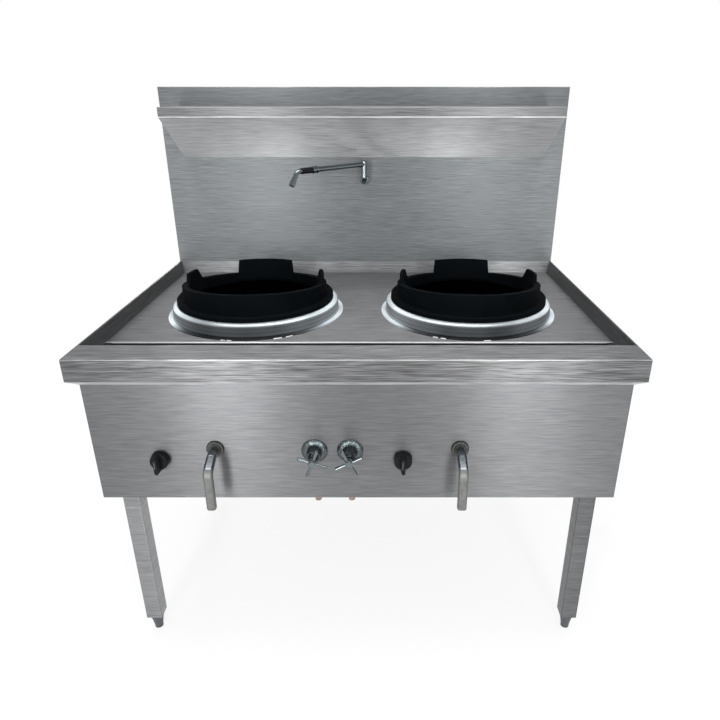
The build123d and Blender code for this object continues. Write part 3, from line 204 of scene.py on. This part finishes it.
def enamel(name, colour, rough=0.45):
    """Sprayed coating: slightly uneven colour with an orange-peel surface."""
    material, tree, shader = new_material(name)
    peel = grain(tree, (160.0, 160.0, 160.0), 2.0)
    tint(tree, shader, colour, remap(tree, peel, 1 - COAT_MOTTLE, 1 + COAT_MOTTLE))
    tree.links.new(remap(tree, peel, rough - 0.06, rough + 0.06), shader.inputs["Roughness"])
    relief(tree, shader, peel, 0.0002)
    return material


finish_with(enamel("foot_enamel", FOOT_GREY), *[f"{corner}_foot" for corner in LEG_NAMES])

# ---- Body panels -----------------------------------------------------------------------
# The box round the burners: front, sides and back, each a stainless sheet ground along its
# length. Its top and bottom edges are folded into flanges, and the top ones are fixed under
# the worktop's rim.
PANEL_GREY = (0.145, 0.148, 0.152)
SIDE_GREY = (0.21, 0.214, 0.22)
SHEET_FOLD = 0.0006                    # rounding of the sheets' folded edges

finish_with(brushed_sheet("panel_steel", PANEL_GREY, "X", streaks=0.22, place=0.4, coarse=0.8),
            "front_panel")
finish_with(brushed_sheet("side_steel", SIDE_GREY, "Y"), "left_side_panel", "right_side_panel")
finish_with(brushed_sheet("back_steel", SIDE_GREY, "X", place=0.8), "back_panel")
ease_edges(SHEET_FOLD, "front_panel", "left_side_panel", "right_side_panel", "back_panel")

# ---- Chambers, ducts and linings -------------------------------------------------------
# Cans rolled from steel sheet and painted with heat-resisting black, hung under the deck. Each
# holds a cast refractory ring, black with soot, and a square duct leads from its port at the
# back to the flue.
CHAMBER_BLACK = (0.012, 0.012, 0.013)
REFRACTORY = (0.004, 0.0038, 0.0036)

finish_with(enamel("chamber_paint", CHAMBER_BLACK, 0.6), "left_chamber", "right_chamber",
            "left_flue_duct", "right_flue_duct")


def sooty_lining(name, colour):
    """Cast refractory: coarse grain, with soot in broad patches."""
    material, tree, shader = new_material(name)
    crumbs = grain(tree, (220.0, 220.0, 220.0), 4.0)
    soot = grain(tree, (14.0, 14.0, 10.0), 3.0)
    tint(tree, shader, colour, times(tree, remap(tree, crumbs, 0.75, 1.15),
                                     remap(tree, soot, 0.35, 1.0)))
    shader.inputs["Roughness"].default_value = 0.95
    shader.inputs["Specular IOR Level"].default_value = 0.03
    relief(tree, shader, crumbs, 0.001)
    return material


finish_with(sooty_lining("refractory", REFRACTORY), "left_lining", "right_lining")

# ---- Burner heads ----------------------------------------------------------------------
# Raw iron castings, dark with soot: a disc with rings of tapered jets, on a stem that stands on
# the chamber's floor over the end of the burner pipe.
BURNER_IRON = (0.008, 0.0072, 0.0068)


def cast_iron(name, colour, rough=(0.55, 0.75), specular=0.12):
    """Sand-cast iron: pitted and matt, a little uneven in tone."""
    material, tree, shader = new_material(name)
    sand = grain(tree, (420.0, 420.0, 420.0), 4.0)
    patches = grain(tree, (22.0, 22.0, 22.0), 3.0)
    tint(tree, shader, colour, times(tree, remap(tree, sand, 0.8, 1.2),
                                     remap(tree, patches, 0.75, 1.3)))
    tree.links.new(remap(tree, patches, *rough), shader.inputs["Roughness"])
    shader.inputs["Specular IOR Level"].default_value = specular
    relief(tree, shader, sand, 0.0005)
    return material


finish_with(cast_iron("burner_iron", BURNER_IRON, specular=0.04), "left_burner_head",
            "right_burner_head")

# ---- Gas valves and pipes --------------------------------------------------------------
# Brass valves close behind the front panel, and a manifold and burner pipes of bent steel tube,
# painted gas yellow. The pilots' valves and small pipes are brass as well.
BRASS = (0.50, 0.36, 0.16)
GAS_YELLOW = (0.48, 0.33, 0.03)


def turned_metal(name, colour, rough=(0.22, 0.38)):
    """Turned or drawn metal with light handling marks."""
    material, tree, shader = new_material(name)
    marks = grain(tree, (90.0, 90.0, 90.0), 4.0)
    tint(tree, shader, colour, remap(tree, marks, 0.82, 1.12))
    tree.links.new(remap(tree, marks, *rough), shader.inputs["Roughness"])
    shader.inputs["Metallic"].default_value = 1.0
    relief(tree, shader, marks, 0.0001)
    return material


finish_with(turned_metal("valve_brass", BRASS), "gas_valves", "pilot_valves", "pilot_burners")
finish_with(enamel("gas_paint", GAS_YELLOW, 0.4), "gas_manifold", "burner_pipes")

# ---- Water pipes -----------------------------------------------------------------------
# Bright 15 mm copper tube: a supply up to each tap, a bent bridge between the taps, and from a
# soldered tee on the bridge a riser behind the splashback to the spout.
COPPER = (0.36, 0.26, 0.20)

finish_with(turned_metal("copper_tube", COPPER), "water_pipes")

# ---- Worktop ---------------------------------------------------------------------------
# A flat deck, a mitred front rim with a sloping return, folded side rims and a gutter trough,
# of stainless sheet ground along its length. The side rims and the trough are darkened as painted
# shade, and the deck and rim carry painted light and shade by the way their faces look. The deck's
# front edge is folded over as a hem, much lighter than the deck as a painted highlight, and a
# black strip of painted shade runs under it on the gutter's wall.
DECK_GREY = (0.180, 0.182, 0.185)
RIM_GREY = (0.170, 0.172, 0.174)
# The side rims are painted dark as painted shade.
SIDE_RIM_SHADE_GREY = (0.10, 0.10, 0.10)
# The gutter trough is painted near black as painted shade.
GUTTER_SHADE_GREY = (0.035, 0.035, 0.037)
# Directions for painted light and shade by facing: a painted highlight along the rim's fold,
# painted shade on its face, painted light on its return, and painted light on the deck's front
# faces.
RIM_FOLD = (0.0, -0.707, 0.707)        # ways that the front rim's faces look
RIM_FACE = (0.0, -1.0, 0.0)
RIM_RETURN = (0.0, -0.6, -0.8)
# The hem is much lighter than the deck, as a painted highlight.
HEM_HIGHLIGHT_GREY = (0.50, 0.51, 0.52)
DECK_EDGE = (-0.229, 0.763)            # y and z of the deck's front edge
HEM_HALF = 0.590                       # half the hem's length
HEM_RADIUS = 0.0026
HEM_POINTS = 16                        # round its outline
# A black strip of painted shade on the gutter's wall, under the hem.
SHADE_STRIP_BLACK = (0.006, 0.007, 0.008)
SHADE_STRIP_LOW = 0.738
SHADE_STRIP_FOOT = 0.001                   # its lower edge leans out over this height
SHADE_STRIP_BACK = 0.0005                  # into the gutter's wall
SHADE_STRIP_PROUD = 0.0014
SHADE_STRIP_SWELL = 0.0022                 # fullest, between the next two heights
SHADE_STRIP_FULL = (0.754, 0.745)
SMOOTH_ANGLE = 50


def skin(name, outlines, looped=False):
    """A closed skin over a run of outlines, each a list of points."""
    shell = bmesh.new()
    rings = [[shell.verts.new(point) for point in outline] for outline in outlines]
    pairs = list(zip(rings, rings[1:]))
    if looped:
        pairs.append((rings[-1], rings[0]))
    else:
        shell.faces.new(rings[0][::-1])
        shell.faces.new(rings[-1])
    for one, other in pairs:
        for spot in range(len(one)):
            after = (spot + 1) % len(one)
            shell.faces.new((one[spot], one[after], other[after], other[spot]))
    bmesh.ops.recalc_face_normals(shell, faces=shell.faces)
    mesh = bpy.data.meshes.new(name)
    shell.to_mesh(mesh)
    shell.free()
    for face in mesh.polygons:
        face.use_smooth = True
    mesh.set_sharp_from_angle(angle=radians(SMOOTH_ANGLE))
    made = bpy.data.objects.new(name, mesh)
    bpy.context.scene.collection.objects.link(made)
    return made


def fit(made, material, body="range"):
    """Puts a new piece on its body with its finish."""
    made.data.materials.append(material)
    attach(made, body)


# Faces of the deck that look to the front are painted lighter, as painted light.
finish_with(brushed_sheet("deck_steel", DECK_GREY, "X", bands=0.08, faces=((RIM_FACE, 1.9),)),
            "worktop_deck")
# The rim: a painted highlight along its fold, painted shade on its face and painted light on its
# sloping return.
finish_with(brushed_sheet("rim_steel", RIM_GREY, "X", streaks=0.6, place=0.55, coarse=1.1,
                          faces=((RIM_FOLD, 2.8), (RIM_FACE, 0.8), (RIM_RETURN, 2.4))),
            "front_rim")
finish_with(brushed_sheet("side_rim_steel", SIDE_RIM_SHADE_GREY, "Y"), "left_side_rim", "right_side_rim")
finish_with(brushed_sheet("gutter_steel", GUTTER_SHADE_GREY, "X"), "gutter_trough")
ease_edges(SHEET_FOLD, "worktop_deck", "left_side_rim", "right_side_rim")

turns = [2 * pi * step / HEM_POINTS for step in range(HEM_POINTS)]
outline = [(HEM_RADIUS * cos(turn), HEM_RADIUS * sin(turn)) for turn in turns]
hem = skin("deck_hem", [[(end, DECK_EDGE[0] + y, DECK_EDGE[1] - HEM_RADIUS / 2 + z)
                         for y, z in outline] for end in (-HEM_HALF, HEM_HALF)])
fit(hem, brushed_sheet("hem_highlight_steel", HEM_HIGHLIGHT_GREY, "X", streaks=0.08))

# The black strip of painted shade under the hem.
outline = [(SHADE_STRIP_BACK, DECK_EDGE[1] - HEM_RADIUS), (-SHADE_STRIP_PROUD, DECK_EDGE[1] - HEM_RADIUS),
           (-SHADE_STRIP_SWELL, SHADE_STRIP_FULL[0]), (-SHADE_STRIP_SWELL, SHADE_STRIP_FULL[1]),
           (-SHADE_STRIP_PROUD, SHADE_STRIP_LOW + SHADE_STRIP_FOOT), (SHADE_STRIP_BACK, SHADE_STRIP_LOW)]
shade_strip = skin("deck_shade_strip", [[(end, DECK_EDGE[0] + y, z) for y, z in outline]
                                for end in (-HEM_HALF, HEM_HALF)])
fit(shade_strip, enamel("shade_strip", SHADE_STRIP_BLACK, 0.6))

# ---- Waste outlet and strainer ---------------------------------------------------------
# A turned stainless waste with its flange on the gutter's floor, and over it a drilled strainer
# plate, centred by its spigot, that lifts out by its knob.
WASTE_STEEL = (0.20, 0.205, 0.21)

finish_with(turned_metal("waste_steel", WASTE_STEEL, (0.42, 0.6)), "waste_outlet",
            "gutter_strainer")

# ---- Collars ---------------------------------------------------------------------------
# Spun stainless collars, polished brighter than the deck, with a painted highlight on the shoulder
# and at the flange's sides, painted shade on the wall and low down at the front, and near black
# inside the throat from soot and painted shade. Each stands round its hole in the deck on a
# flange, held by a few short tack welds, which are coloured much lighter than the collar as
# painted highlights.
COLLAR_STEEL = (0.48, 0.525, 0.545)
# Inside this radius the throat is near black: soot and painted shade together.
THROAT_EDGE = 0.1925                   # radius inside which the soot is
SOOT_FADE = 0.002
# Painted highlight on the shoulder and at the flange's sides, stronger out to either side; below
# the shoulder the wall is painted darker as painted shade.
SHOULDER = (0.0165, 0.019)             # heights over the collar's middle
SHOULDER_SIDES = (0.08, 0.20)          # out to either side of it
FLANGE = (-0.009, -0.007)
FLANGE_SIDES = (0.13, 0.19)
# Painted shade low down at the front of the collar.
FRONT_SHADE_TOP = (-0.008, -0.005)
FRONT_SHADE_FRONT = (-0.20, -0.09)           # in y, negative to the front
# The welds are coloured much lighter than the collar, as painted highlights.
WELD_HIGHLIGHT_STEEL = (0.62, 0.64, 0.65)
WELD_RADIUS = 0.2292                   # of the circle that the welds lie on
WELD_HEIGHT = 0.0004                   # its middle over the deck
WELD_BEAD = 0.0024                     # radius of a bead
WELD_FLAT = 0.8                        # its height to its width
WELD_TIP = 0.35                        # its end's radius to its middle's
WELD_SWELL = 8                         # how fast it swells from its ends
WELD_RIPPLE = 0.12
WELD_STEP = 0.0008
WELD_POINTS = 12                       # round its outline
WELD_RUNS = (("left", -0.0410, 0.013), ("left", -0.0260, 0.013), ("left", 0.0860, 0.022),
             ("left", 0.1120, 0.018), ("right", -0.1000, 0.014), ("right", -0.0820, 0.014),
             ("right", 0.0200, 0.018))  # side, place across, length


def greater(tree, one, other):
    """The greater of two values."""
    larger = add_node(tree, "ShaderNodeMath", operation="MAXIMUM")
    tree.links.new(one, larger.inputs[0])
    tree.links.new(other, larger.inputs[1])
    return larger.outputs["Value"]


def spun_steel(name, colour, centre):
    """Spun sheet: fine rings round the axis and clouds round the wall, with a painted highlight on
    the shoulder and at the flange's sides, painted shade on the wall and low at the front, and
    soot with painted shade inside the throat."""
    material, tree, shader = new_material(name)
    coords = add_node(tree, "ShaderNodeTexCoord")
    moved = add_node(tree, "ShaderNodeVectorMath", operation="SUBTRACT")
    moved.inputs[1].default_value = centre
    tree.links.new(coords.outputs["Object"], moved.inputs[0])
    parts = add_node(tree, "ShaderNodeSeparateXYZ")
    tree.links.new(moved.outputs["Vector"], parts.inputs["Vector"])
    flat = add_node(tree, "ShaderNodeCombineXYZ")
    tree.links.new(parts.outputs["X"], flat.inputs["X"])
    tree.links.new(parts.outputs["Y"], flat.inputs["Y"])
    reach = add_node(tree, "ShaderNodeVectorMath", operation="LENGTH")
    tree.links.new(flat.outputs["Vector"], reach.inputs[0])
    rings_at = add_node(tree, "ShaderNodeCombineXYZ")
    tree.links.new(reach.outputs["Value"], rings_at.inputs["X"])
    tree.links.new(parts.outputs["Z"], rings_at.inputs["Z"])
    rings = add_node(tree, "ShaderNodeTexNoise", Scale=700.0, Detail=2.0)
    tree.links.new(rings_at.outputs["Vector"], rings.inputs["Vector"])
    clouds = grain(tree, (9.0, 9.0, 4.0), 1.0)
    factor = times(tree, remap(tree, rings.outputs["Fac"], 0.94, 1.06),
                   remap(tree, clouds, 0.7, 1.3))
    # Painted shade low down at the front.
    front_shade = times(tree, remap(tree, parts.outputs["Z"], 1.0, 0.0, *FRONT_SHADE_TOP),
                    remap(tree, parts.outputs["Y"], 1.0, 0.0, *FRONT_SHADE_FRONT))
    factor = times(tree, factor, remap(tree, front_shade, 1.0, 0.2, 0.0, 1.0))
    sideways = add_node(tree, "ShaderNodeMath", operation="ABSOLUTE")
    tree.links.new(parts.outputs["X"], sideways.inputs[0])
    # Painted highlight on the shoulder, stronger to the sides, and painted shade on the wall below
    # it.
    shoulder = times(tree, remap(tree, parts.outputs["Z"], 0.30, 0.85, *SHOULDER),
                     remap(tree, sideways.outputs["Value"], 0.85, 2.1, *SHOULDER_SIDES))
    # Painted highlight on the flange's sides.
    flange = times(tree, remap(tree, parts.outputs["Z"], 1.0, 0.0, *FLANGE),
                   remap(tree, sideways.outputs["Value"], 0.0, 1.9, *FLANGE_SIDES))
    # Near black inside the throat: soot and painted shade.
    sooty = remap(tree, reach.outputs["Value"], 0.01, 1.0, THROAT_EDGE,
                  THROAT_EDGE + SOOT_FADE)
    factor = times(tree, times(tree, factor, sooty), greater(tree, shoulder, flange))
    tint(tree, shader, colour, factor)
    tree.links.new(remap(tree, rings.outputs["Fac"], 0.24, 0.34), shader.inputs["Roughness"])
    shader.inputs["Metallic"].default_value = 0.5
    shader.inputs["Specular IOR Level"].default_value = 0.1
    shader.inputs["Anisotropic"].default_value = 0.5
    turned = add_node(tree, "ShaderNodeTangent", direction_type="RADIAL", axis="Z")
    tree.links.new(turned.outputs["Tangent"], shader.inputs["Tangent"])
    return material


for side in ("left", "right"):
    low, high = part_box(f"{side}_collar")
    finish_with(spun_steel(f"{side}_collar_steel", COLLAR_STEEL, (low + high) / 2),
                f"{side}_collar")

# Light weld beads, as painted highlights.
weld_highlight_steel = turned_metal("weld_highlight_steel", WELD_HIGHLIGHT_STEEL, (0.3, 0.45))
for which, (side, across, length) in enumerate(WELD_RUNS):
    low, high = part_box(f"{side}_collar")
    middle = (low + high) / 2
    facing = asin(across / WELD_RADIUS)
    steps = int(length / WELD_STEP)
    outlines = []
    for step in range(steps + 1):
        along = step / steps
        turn = facing + (along - 0.5) * length / WELD_RADIUS
        out = Vector((sin(turn), -cos(turn), 0.0))
        size = WELD_BEAD * min(1.0, WELD_TIP + WELD_SWELL * along,
                               WELD_TIP + WELD_SWELL * (1 - along))
        size *= 1 - WELD_RIPPLE + WELD_RIPPLE * cos(pi * step / 2)
        centre = Vector((middle.x, middle.y, DECK_EDGE[1] + WELD_HEIGHT)) + out * WELD_RADIUS
        turns = [2 * pi * spot / WELD_POINTS for spot in range(WELD_POINTS)]
        outlines.append([centre + out * size * cos(turn)
                         + Vector((0, 0, WELD_FLAT * size * sin(turn))) for turn in turns])
    fit(skin(f"{side}_tack_weld_{which + 1}", outlines), weld_highlight_steel)

# ---- Wok rings -------------------------------------------------------------------------
# Loose rings of matt black cast iron, each with a sloping rim and three lugs that carry the
# wok. They are sand-cast in one piece, and lift out of the collars' seats.
RING_BLACK = (0.0018, 0.0028, 0.0036)

finish_with(cast_iron("ring_iron", RING_BLACK, (0.6, 0.8), 0.03), "left_wok_ring",
            "right_wok_ring")

# ---- Splashback, flue and shelf --------------------------------------------------------
# A tall stainless sheet that is also the front of the flue, with a folded cover behind it and
# a slotted top. The wedge-shaped shelf is folded sheet too, closed at both ends, and is fixed
# against the splashback.
SPLASH_GREY = (0.195, 0.208, 0.213)
SHELF_GREY = (0.180, 0.183, 0.186)
# The shelf's sloping underside is painted lighter as painted light, and its lip darker as painted
# shade.
SHELF_SLOPE = (0.0, -0.874, -0.486)    # way that the shelf's underside looks
SHELF_LIP = (0.0, -1.0, 0.0)

# The splashback is painted darker towards its top, as painted shade.
finish_with(brushed_sheet("splash_steel", SPLASH_GREY, "X", streaks=0.3, rough=0.5, metal=0.5,
                          place=0.15, run=("Z", 1.18, 1.28, 0.68)), "splashback_panel")
finish_with(brushed_sheet("flue_steel", SIDE_GREY, "X"), "flue_cover", "flue_grille")
# Painted light on the underside and painted shade on the lip.
finish_with(brushed_sheet("shelf_steel", SHELF_GREY, "X", metal=0.3, place=0.4,
                          faces=((SHELF_SLOPE, 5.0), (SHELF_LIP, 0.75))), "shelf")

# ---- Spout -----------------------------------------------------------------------------
# Chrome-plated brass tube and castings: a wall stub, an arm that swings in it, and a bent
# nozzle. A moulded black sleeve on the arm keeps the cook's hand from the hot metal.
CHROME = (0.17, 0.195, 0.205)
PLASTIC_BLACK = (0.006, 0.007, 0.008)
PLASTIC_ROUGH = (0.30, 0.40)


def chrome_plate(name, colour, rough=(0.10, 0.18), dents=0.0):
    """Bright plate with faint clouding, and the dents of a rough casting under it."""
    material, tree, shader = new_material(name)
    cloud = grain(tree, (60.0, 60.0, 60.0), 2.0)
    tint(tree, shader, colour, remap(tree, cloud, 0.93, 1.05))
    tree.links.new(remap(tree, cloud, *rough), shader.inputs["Roughness"])
    shader.inputs["Metallic"].default_value = 1.0
    if dents:
        relief(tree, shader, grain(tree, (300.0, 300.0, 300.0), 2.0), dents)
    return material


def moulded_plastic(name, colour):
    """Moulded heat-resisting plastic with a fine spark-eroded grain."""
    material, tree, shader = new_material(name)
    fine = grain(tree, (1400.0, 1400.0, 1400.0), 2.0)
    tint(tree, shader, colour, remap(tree, fine, 0.85, 1.15))
    tree.links.new(remap(tree, fine, *PLASTIC_ROUGH), shader.inputs["Roughness"])
    shader.inputs["Specular IOR Level"].default_value = 0.12
    relief(tree, shader, fine, 0.0001)
    return material


chrome = chrome_plate("chrome", CHROME)
black_plastic = moulded_plastic("black_plastic", PLASTIC_BLACK)
finish_with(chrome, "spout_body", "spout_arm", "spout_nozzle")
finish_with(black_plastic, "spout_grip")

# ---- Taps ------------------------------------------------------------------------------
# Two cast brass taps, chrome-plated, with domed flanges on the front panel and four-armed cross
# handles on their spindles. The casting's dents show under the flanges' plate.
TAP_CHROME = (0.10, 0.118, 0.122)

finish_with(chrome_plate("tap_chrome", TAP_CHROME, (0.16, 0.28), dents=0.0009), "tap_bodies")
finish_with(chrome, "left_tap_handle", "right_tap_handle")

# ---- Gas levers ------------------------------------------------------------------------
# Zinc castings with nickel plate, satin on the grip and brighter on the shaft. Each turns its
# gas valve through a bush of blackened steel on the front panel, which has fine ribs round its
# front edge.
LEVER_NICKEL = (0.19, 0.192, 0.186)
SHAFT_GREY = (0.17, 0.19, 0.205)
BEND_HEIGHT = 0.573                    # where the shaft ends and the grip begins
BUSH_BLACK = (0.075, 0.077, 0.074)
BUSH_PLACES = (("left", -0.312), ("right", 0.224))
RIB_COUNT = 22
RIB_STEPS = 6                          # outlines to each rib
RIB_RISE = 0.0013
RIBBED_EDGE = ((0.0128, 0.0005, 0, 0), (0.0128, -0.0004, 0, 0), (0.0140, -0.0004, 1, 0),
               (0.0168, -0.0004, 1, 0), (0.0188, 0.0010, 1, 0), (0.0192, 0.0035, 0, 0.25),
               (0.0180, 0.0040, 0, 0))  # radius, depth, a rib's share forward and outward


def plated_lever(name, grip_colour, shaft_colour, bend):
    """Nickel plate, satin on the grip and brighter on the shaft behind it."""
    material, tree, shader = new_material(name)
    coords = add_node(tree, "ShaderNodeTexCoord")
    parts = add_node(tree, "ShaderNodeSeparateXYZ")
    tree.links.new(coords.outputs["Object"], parts.inputs["Vector"])
    on_shaft = remap(tree, parts.outputs["Z"], 0.0, 1.0, bend - 0.001, bend + 0.001)
    both = add_node(tree, "ShaderNodeMix", data_type="RGBA")
    both.inputs["A"].default_value = (*grip_colour, 1.0)
    both.inputs["B"].default_value = (*shaft_colour, 1.0)
    tree.links.new(on_shaft, both.inputs["Factor"])
    marks = grain(tree, (90.0, 90.0, 90.0), 4.0)
    scaled = add_node(tree, "ShaderNodeVectorMath", operation="SCALE")
    tree.links.new(both.outputs["Result"], scaled.inputs[0])
    tree.links.new(remap(tree, marks, 0.82, 1.12), scaled.inputs["Scale"])
    tree.links.new(scaled.outputs["Vector"], shader.inputs["Base Color"])
    tree.links.new(remap(tree, on_shaft, 0.58, 0.24, 0.0, 1.0), shader.inputs["Roughness"])
    shader.inputs["Metallic"].default_value = 1.0
    relief(tree, shader, marks, 0.0001)
    return material


finish_with(plated_lever("lever_nickel", LEVER_NICKEL, SHAFT_GREY, BEND_HEIGHT),
            "left_gas_lever", "right_gas_lever")
bush_black = turned_metal("bush_black", BUSH_BLACK, (0.35, 0.5))
finish_with(bush_black, "lever_bushes")

bush_low, bush_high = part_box("lever_bushes")
for side, across in BUSH_PLACES:
    centre = Vector((across, bush_low.y, (bush_low.z + bush_high.z) / 2))
    outlines = []
    for step in range(RIB_COUNT * RIB_STEPS):
        turn = 2 * pi * step / (RIB_COUNT * RIB_STEPS)
        out = Vector((cos(turn), 0.0, sin(turn)))
        rise = RIB_RISE * (0.5 + 0.5 * cos(2 * pi * step / RIB_STEPS))
        outlines.append([centre + out * (radius + rise * outward)
                         + Vector((0.0, depth - rise * forward, 0.0))
                         for radius, depth, forward, outward in RIBBED_EDGE])
    fit(skin(f"{side}_bush_ribs", outlines, looped=True), bush_black)

# ---- Pilot knobs -----------------------------------------------------------------------
# Moulded black plastic knobs with a pointer bar, pushed on stems of drawn steel rod that slide
# in through the front panel to the pilot valves. A fine pale line down each bar is a painted
# highlight along its edge.
STEM_STEEL = (0.20, 0.205, 0.21)
# A painted highlight: a fine pale line along the pointer bar's edge.
POINTER_HIGHLIGHT_GREY = (0.13, 0.135, 0.135)
POINTER_HALF = 0.0004                  # half the line's width
POINTER_ACROSS = -0.0012               # from the knob's middle
POINTER_RISE = 0.0003
POINTER_ENDS = (0.014, -0.004)         # heights over the knob's middle
POINTER_BACK = 0.0006                  # into the bar

finish_with(black_plastic, "left_knob", "right_knob")
finish_with(turned_metal("stem_steel", STEM_STEEL), "left_knob_stem", "right_knob_stem")

# The pale line is a painted highlight.
pointer_highlight = enamel("pointer_highlight_paint", POINTER_HIGHLIGHT_GREY, 0.5)
for side in ("left", "right"):
    low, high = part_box(f"{side}_knob")
    middle = (low + high) / 2
    outlines = []
    for height in POINTER_ENDS:
        outlines.append([(middle.x + POINTER_ACROSS + x, low.y + y, middle.z + height)
                         for x, y in ((-POINTER_HALF, POINTER_BACK),
                                      (-POINTER_HALF, -POINTER_RISE),
                                      (POINTER_HALF, -POINTER_RISE),
                                      (POINTER_HALF, POINTER_BACK))])
    fit(skin(f"{side}_pointer_line", outlines), pointer_highlight, f"{side}_knob")

# ---- Floor, light and camera -----------------------------------------------------------
# A plain pale floor that fades to white, and even light from a pale sky, with tall soft lamps in
# front and behind, one overhead and two small cards that lift the shelf's underside. The camera
# stands where the photographer stood.
FLOOR_SIZE = 40.0
FLOOR_LOW = -0.001                     # just under the feet
FLOOR_COLOUR = (0.93, 0.93, 0.93, 1.0)
FADE_START = 1.6
FADE_END = 2.6
FLOOR_WHITE = 0.8
BACKDROP_TOP = 0.12
BACKDROP_BLUR = 0.1
WALL_GREY = (0.55, 0.56, 0.57, 1.0)
CEILING_EDGE = 0.85
CEILING_BLUR = 0.12
ROOM_LIGHT = (0.75, 0.76, 0.78, 1.0)
WHITE = (1.0, 1.0, 1.0, 1.0)
AIM = Vector((0.0, 0.0, 0.7))          # what the tall lamps point at
STRIP_SIZE = (0.4, 1.9)
STRIPS = (("left_strip", (-0.85, -2.7, 1.1), 38.0), ("right_strip", (0.86, -2.7, 1.1), 36.0),
          ("back_strip", (-0.9, 2.9, 1.2), 30.0))
OVERHEAD_SIZE = (2.4, 1.2)
OVERHEAD_PLACE = (0.0, -0.2, 2.8)
OVERHEAD_POWER = 40.0
CARD_SIZE = (0.14, 0.14)
CARD_POWER = 3.4
CARD_ACROSS = 0.29                     # either side of the middle
CARD_BELOW = (0.08, -0.30)             # y and z from the front and lowest of the shelf
CAMERA_PLACE = (0.0514, -1.5507, 1.2867)
CAMERA_DOWN = 23.27                    # degrees below level
SENSOR_WIDTH = 36.0
LENS = 30.5
SIDE_SHIFT = -0.0296

bpy.ops.mesh.primitive_plane_add(size=FLOOR_SIZE, location=(0, 0, FLOOR_LOW))
floor = bpy.context.object
floor.name = "floor"
material, tree, shader = new_material("floor_white")
shader.inputs["Base Color"].default_value = FLOOR_COLOUR
shader.inputs["Roughness"].default_value = 0.9
shader.inputs["Specular IOR Level"].default_value = 0.0
coords = add_node(tree, "ShaderNodeTexCoord")
reach = add_node(tree, "ShaderNodeVectorMath", operation="LENGTH")
tree.links.new(coords.outputs["Object"], reach.inputs[0])
fade = remap(tree, reach.outputs["Value"], FLOOR_WHITE, 1.0, FADE_START, FADE_END)
rays = add_node(tree, "ShaderNodeLightPath")
mirrored = greater(tree, rays.outputs["Is Glossy Ray"], rays.outputs["Is Transmission Ray"])
seen = greater(tree, rays.outputs["Is Camera Ray"], mirrored)
white = add_node(tree, "ShaderNodeEmission", Strength=1.0)
blend = add_node(tree, "ShaderNodeMixShader")
tree.links.new(times(tree, fade, seen), blend.inputs["Fac"])
tree.links.new(shader.outputs["BSDF"], blend.inputs[1])
tree.links.new(white.outputs["Emission"], blend.inputs[2])
tree.links.new(blend.outputs["Shader"], tree.nodes["Material Output"].inputs["Surface"])
floor.data.materials.append(material)

world = bpy.data.worlds.new("studio")
bpy.context.scene.world = world
world.use_nodes = True
sky = world.node_tree
looking = add_node(sky, "ShaderNodeTexCoord")
way = add_node(sky, "ShaderNodeSeparateXYZ")
sky.links.new(looking.outputs["Generated"], way.inputs["Vector"])
walls = add_node(sky, "ShaderNodeValToRGB")
walls.color_ramp.elements[0].position = BACKDROP_TOP
walls.color_ramp.elements[0].color = WHITE
walls.color_ramp.elements[1].position = BACKDROP_TOP + BACKDROP_BLUR
walls.color_ramp.elements[1].color = WALL_GREY
walls.color_ramp.elements.new(CEILING_EDGE - CEILING_BLUR).color = WALL_GREY
walls.color_ramp.elements.new(CEILING_EDGE).color = WHITE
sky.links.new(way.outputs["Z"], walls.inputs["Fac"])
rays = add_node(sky, "ShaderNodeLightPath")
mirrored = greater(sky, rays.outputs["Is Glossy Ray"], rays.outputs["Is Transmission Ray"])
room_light = sky.nodes["Background"]
room_light.inputs["Color"].default_value = ROOM_LIGHT
reflected = add_node(sky, "ShaderNodeBackground", Strength=1.0)
sky.links.new(walls.outputs["Color"], reflected.inputs["Color"])
backdrop = add_node(sky, "ShaderNodeBackground", Strength=1.0)
backdrop.inputs["Color"].default_value = WHITE
first = add_node(sky, "ShaderNodeMixShader")
sky.links.new(mirrored, first.inputs["Fac"])
sky.links.new(room_light.outputs["Background"], first.inputs[1])
sky.links.new(reflected.outputs["Background"], first.inputs[2])
last = add_node(sky, "ShaderNodeMixShader")
sky.links.new(rays.outputs["Is Camera Ray"], last.inputs["Fac"])
sky.links.new(first.outputs["Shader"], last.inputs[1])
sky.links.new(backdrop.outputs["Background"], last.inputs[2])
sky.links.new(last.outputs["Shader"], sky.nodes["World Output"].inputs["Surface"])


def hang_lamp(name, size, power, place):
    """A soft rectangular lamp that shines down until it is turned."""
    lamp = bpy.data.lights.new(name, "AREA")
    lamp.shape = "RECTANGLE"
    lamp.size, lamp.size_y = size
    lamp.energy = power
    stand = bpy.data.objects.new(name, lamp)
    bpy.context.scene.collection.objects.link(stand)
    stand.location = place
    return stand


for name, place, power in STRIPS:
    stand = hang_lamp(name, STRIP_SIZE, power, place)
    stand.rotation_euler = (Vector(place) - AIM).to_track_quat("Z", "Y").to_euler()

hang_lamp("overhead", OVERHEAD_SIZE, OVERHEAD_POWER, OVERHEAD_PLACE)

lit_by_card = bpy.data.collections.new("lit_by_card")
lit_by_card.objects.link(cad_parts["shelf"])
low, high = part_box("shelf")
for name, across in (("left_card", -CARD_ACROSS), ("right_card", CARD_ACROSS)):
    stand = hang_lamp(name, CARD_SIZE, CARD_POWER,
                      (across, low.y + CARD_BELOW[0], low.z + CARD_BELOW[1]))
    stand.rotation_euler = (pi, 0.0, 0.0)
    stand.light_linking.receiver_collection = lit_by_card
    stand.visible_glossy = False

camera = bpy.data.objects.new("camera", bpy.data.cameras.new("camera"))
bpy.context.scene.collection.objects.link(camera)
camera.location = CAMERA_PLACE
camera.rotation_euler = (radians(90 - CAMERA_DOWN), 0.0, 0.0)
camera.data.sensor_width = SENSOR_WIDTH
camera.data.lens = LENS
camera.data.shift_x = SIDE_SHIFT
bpy.context.scene.camera = camera

bpy.context.scene.view_settings.view_transform = "Standard"
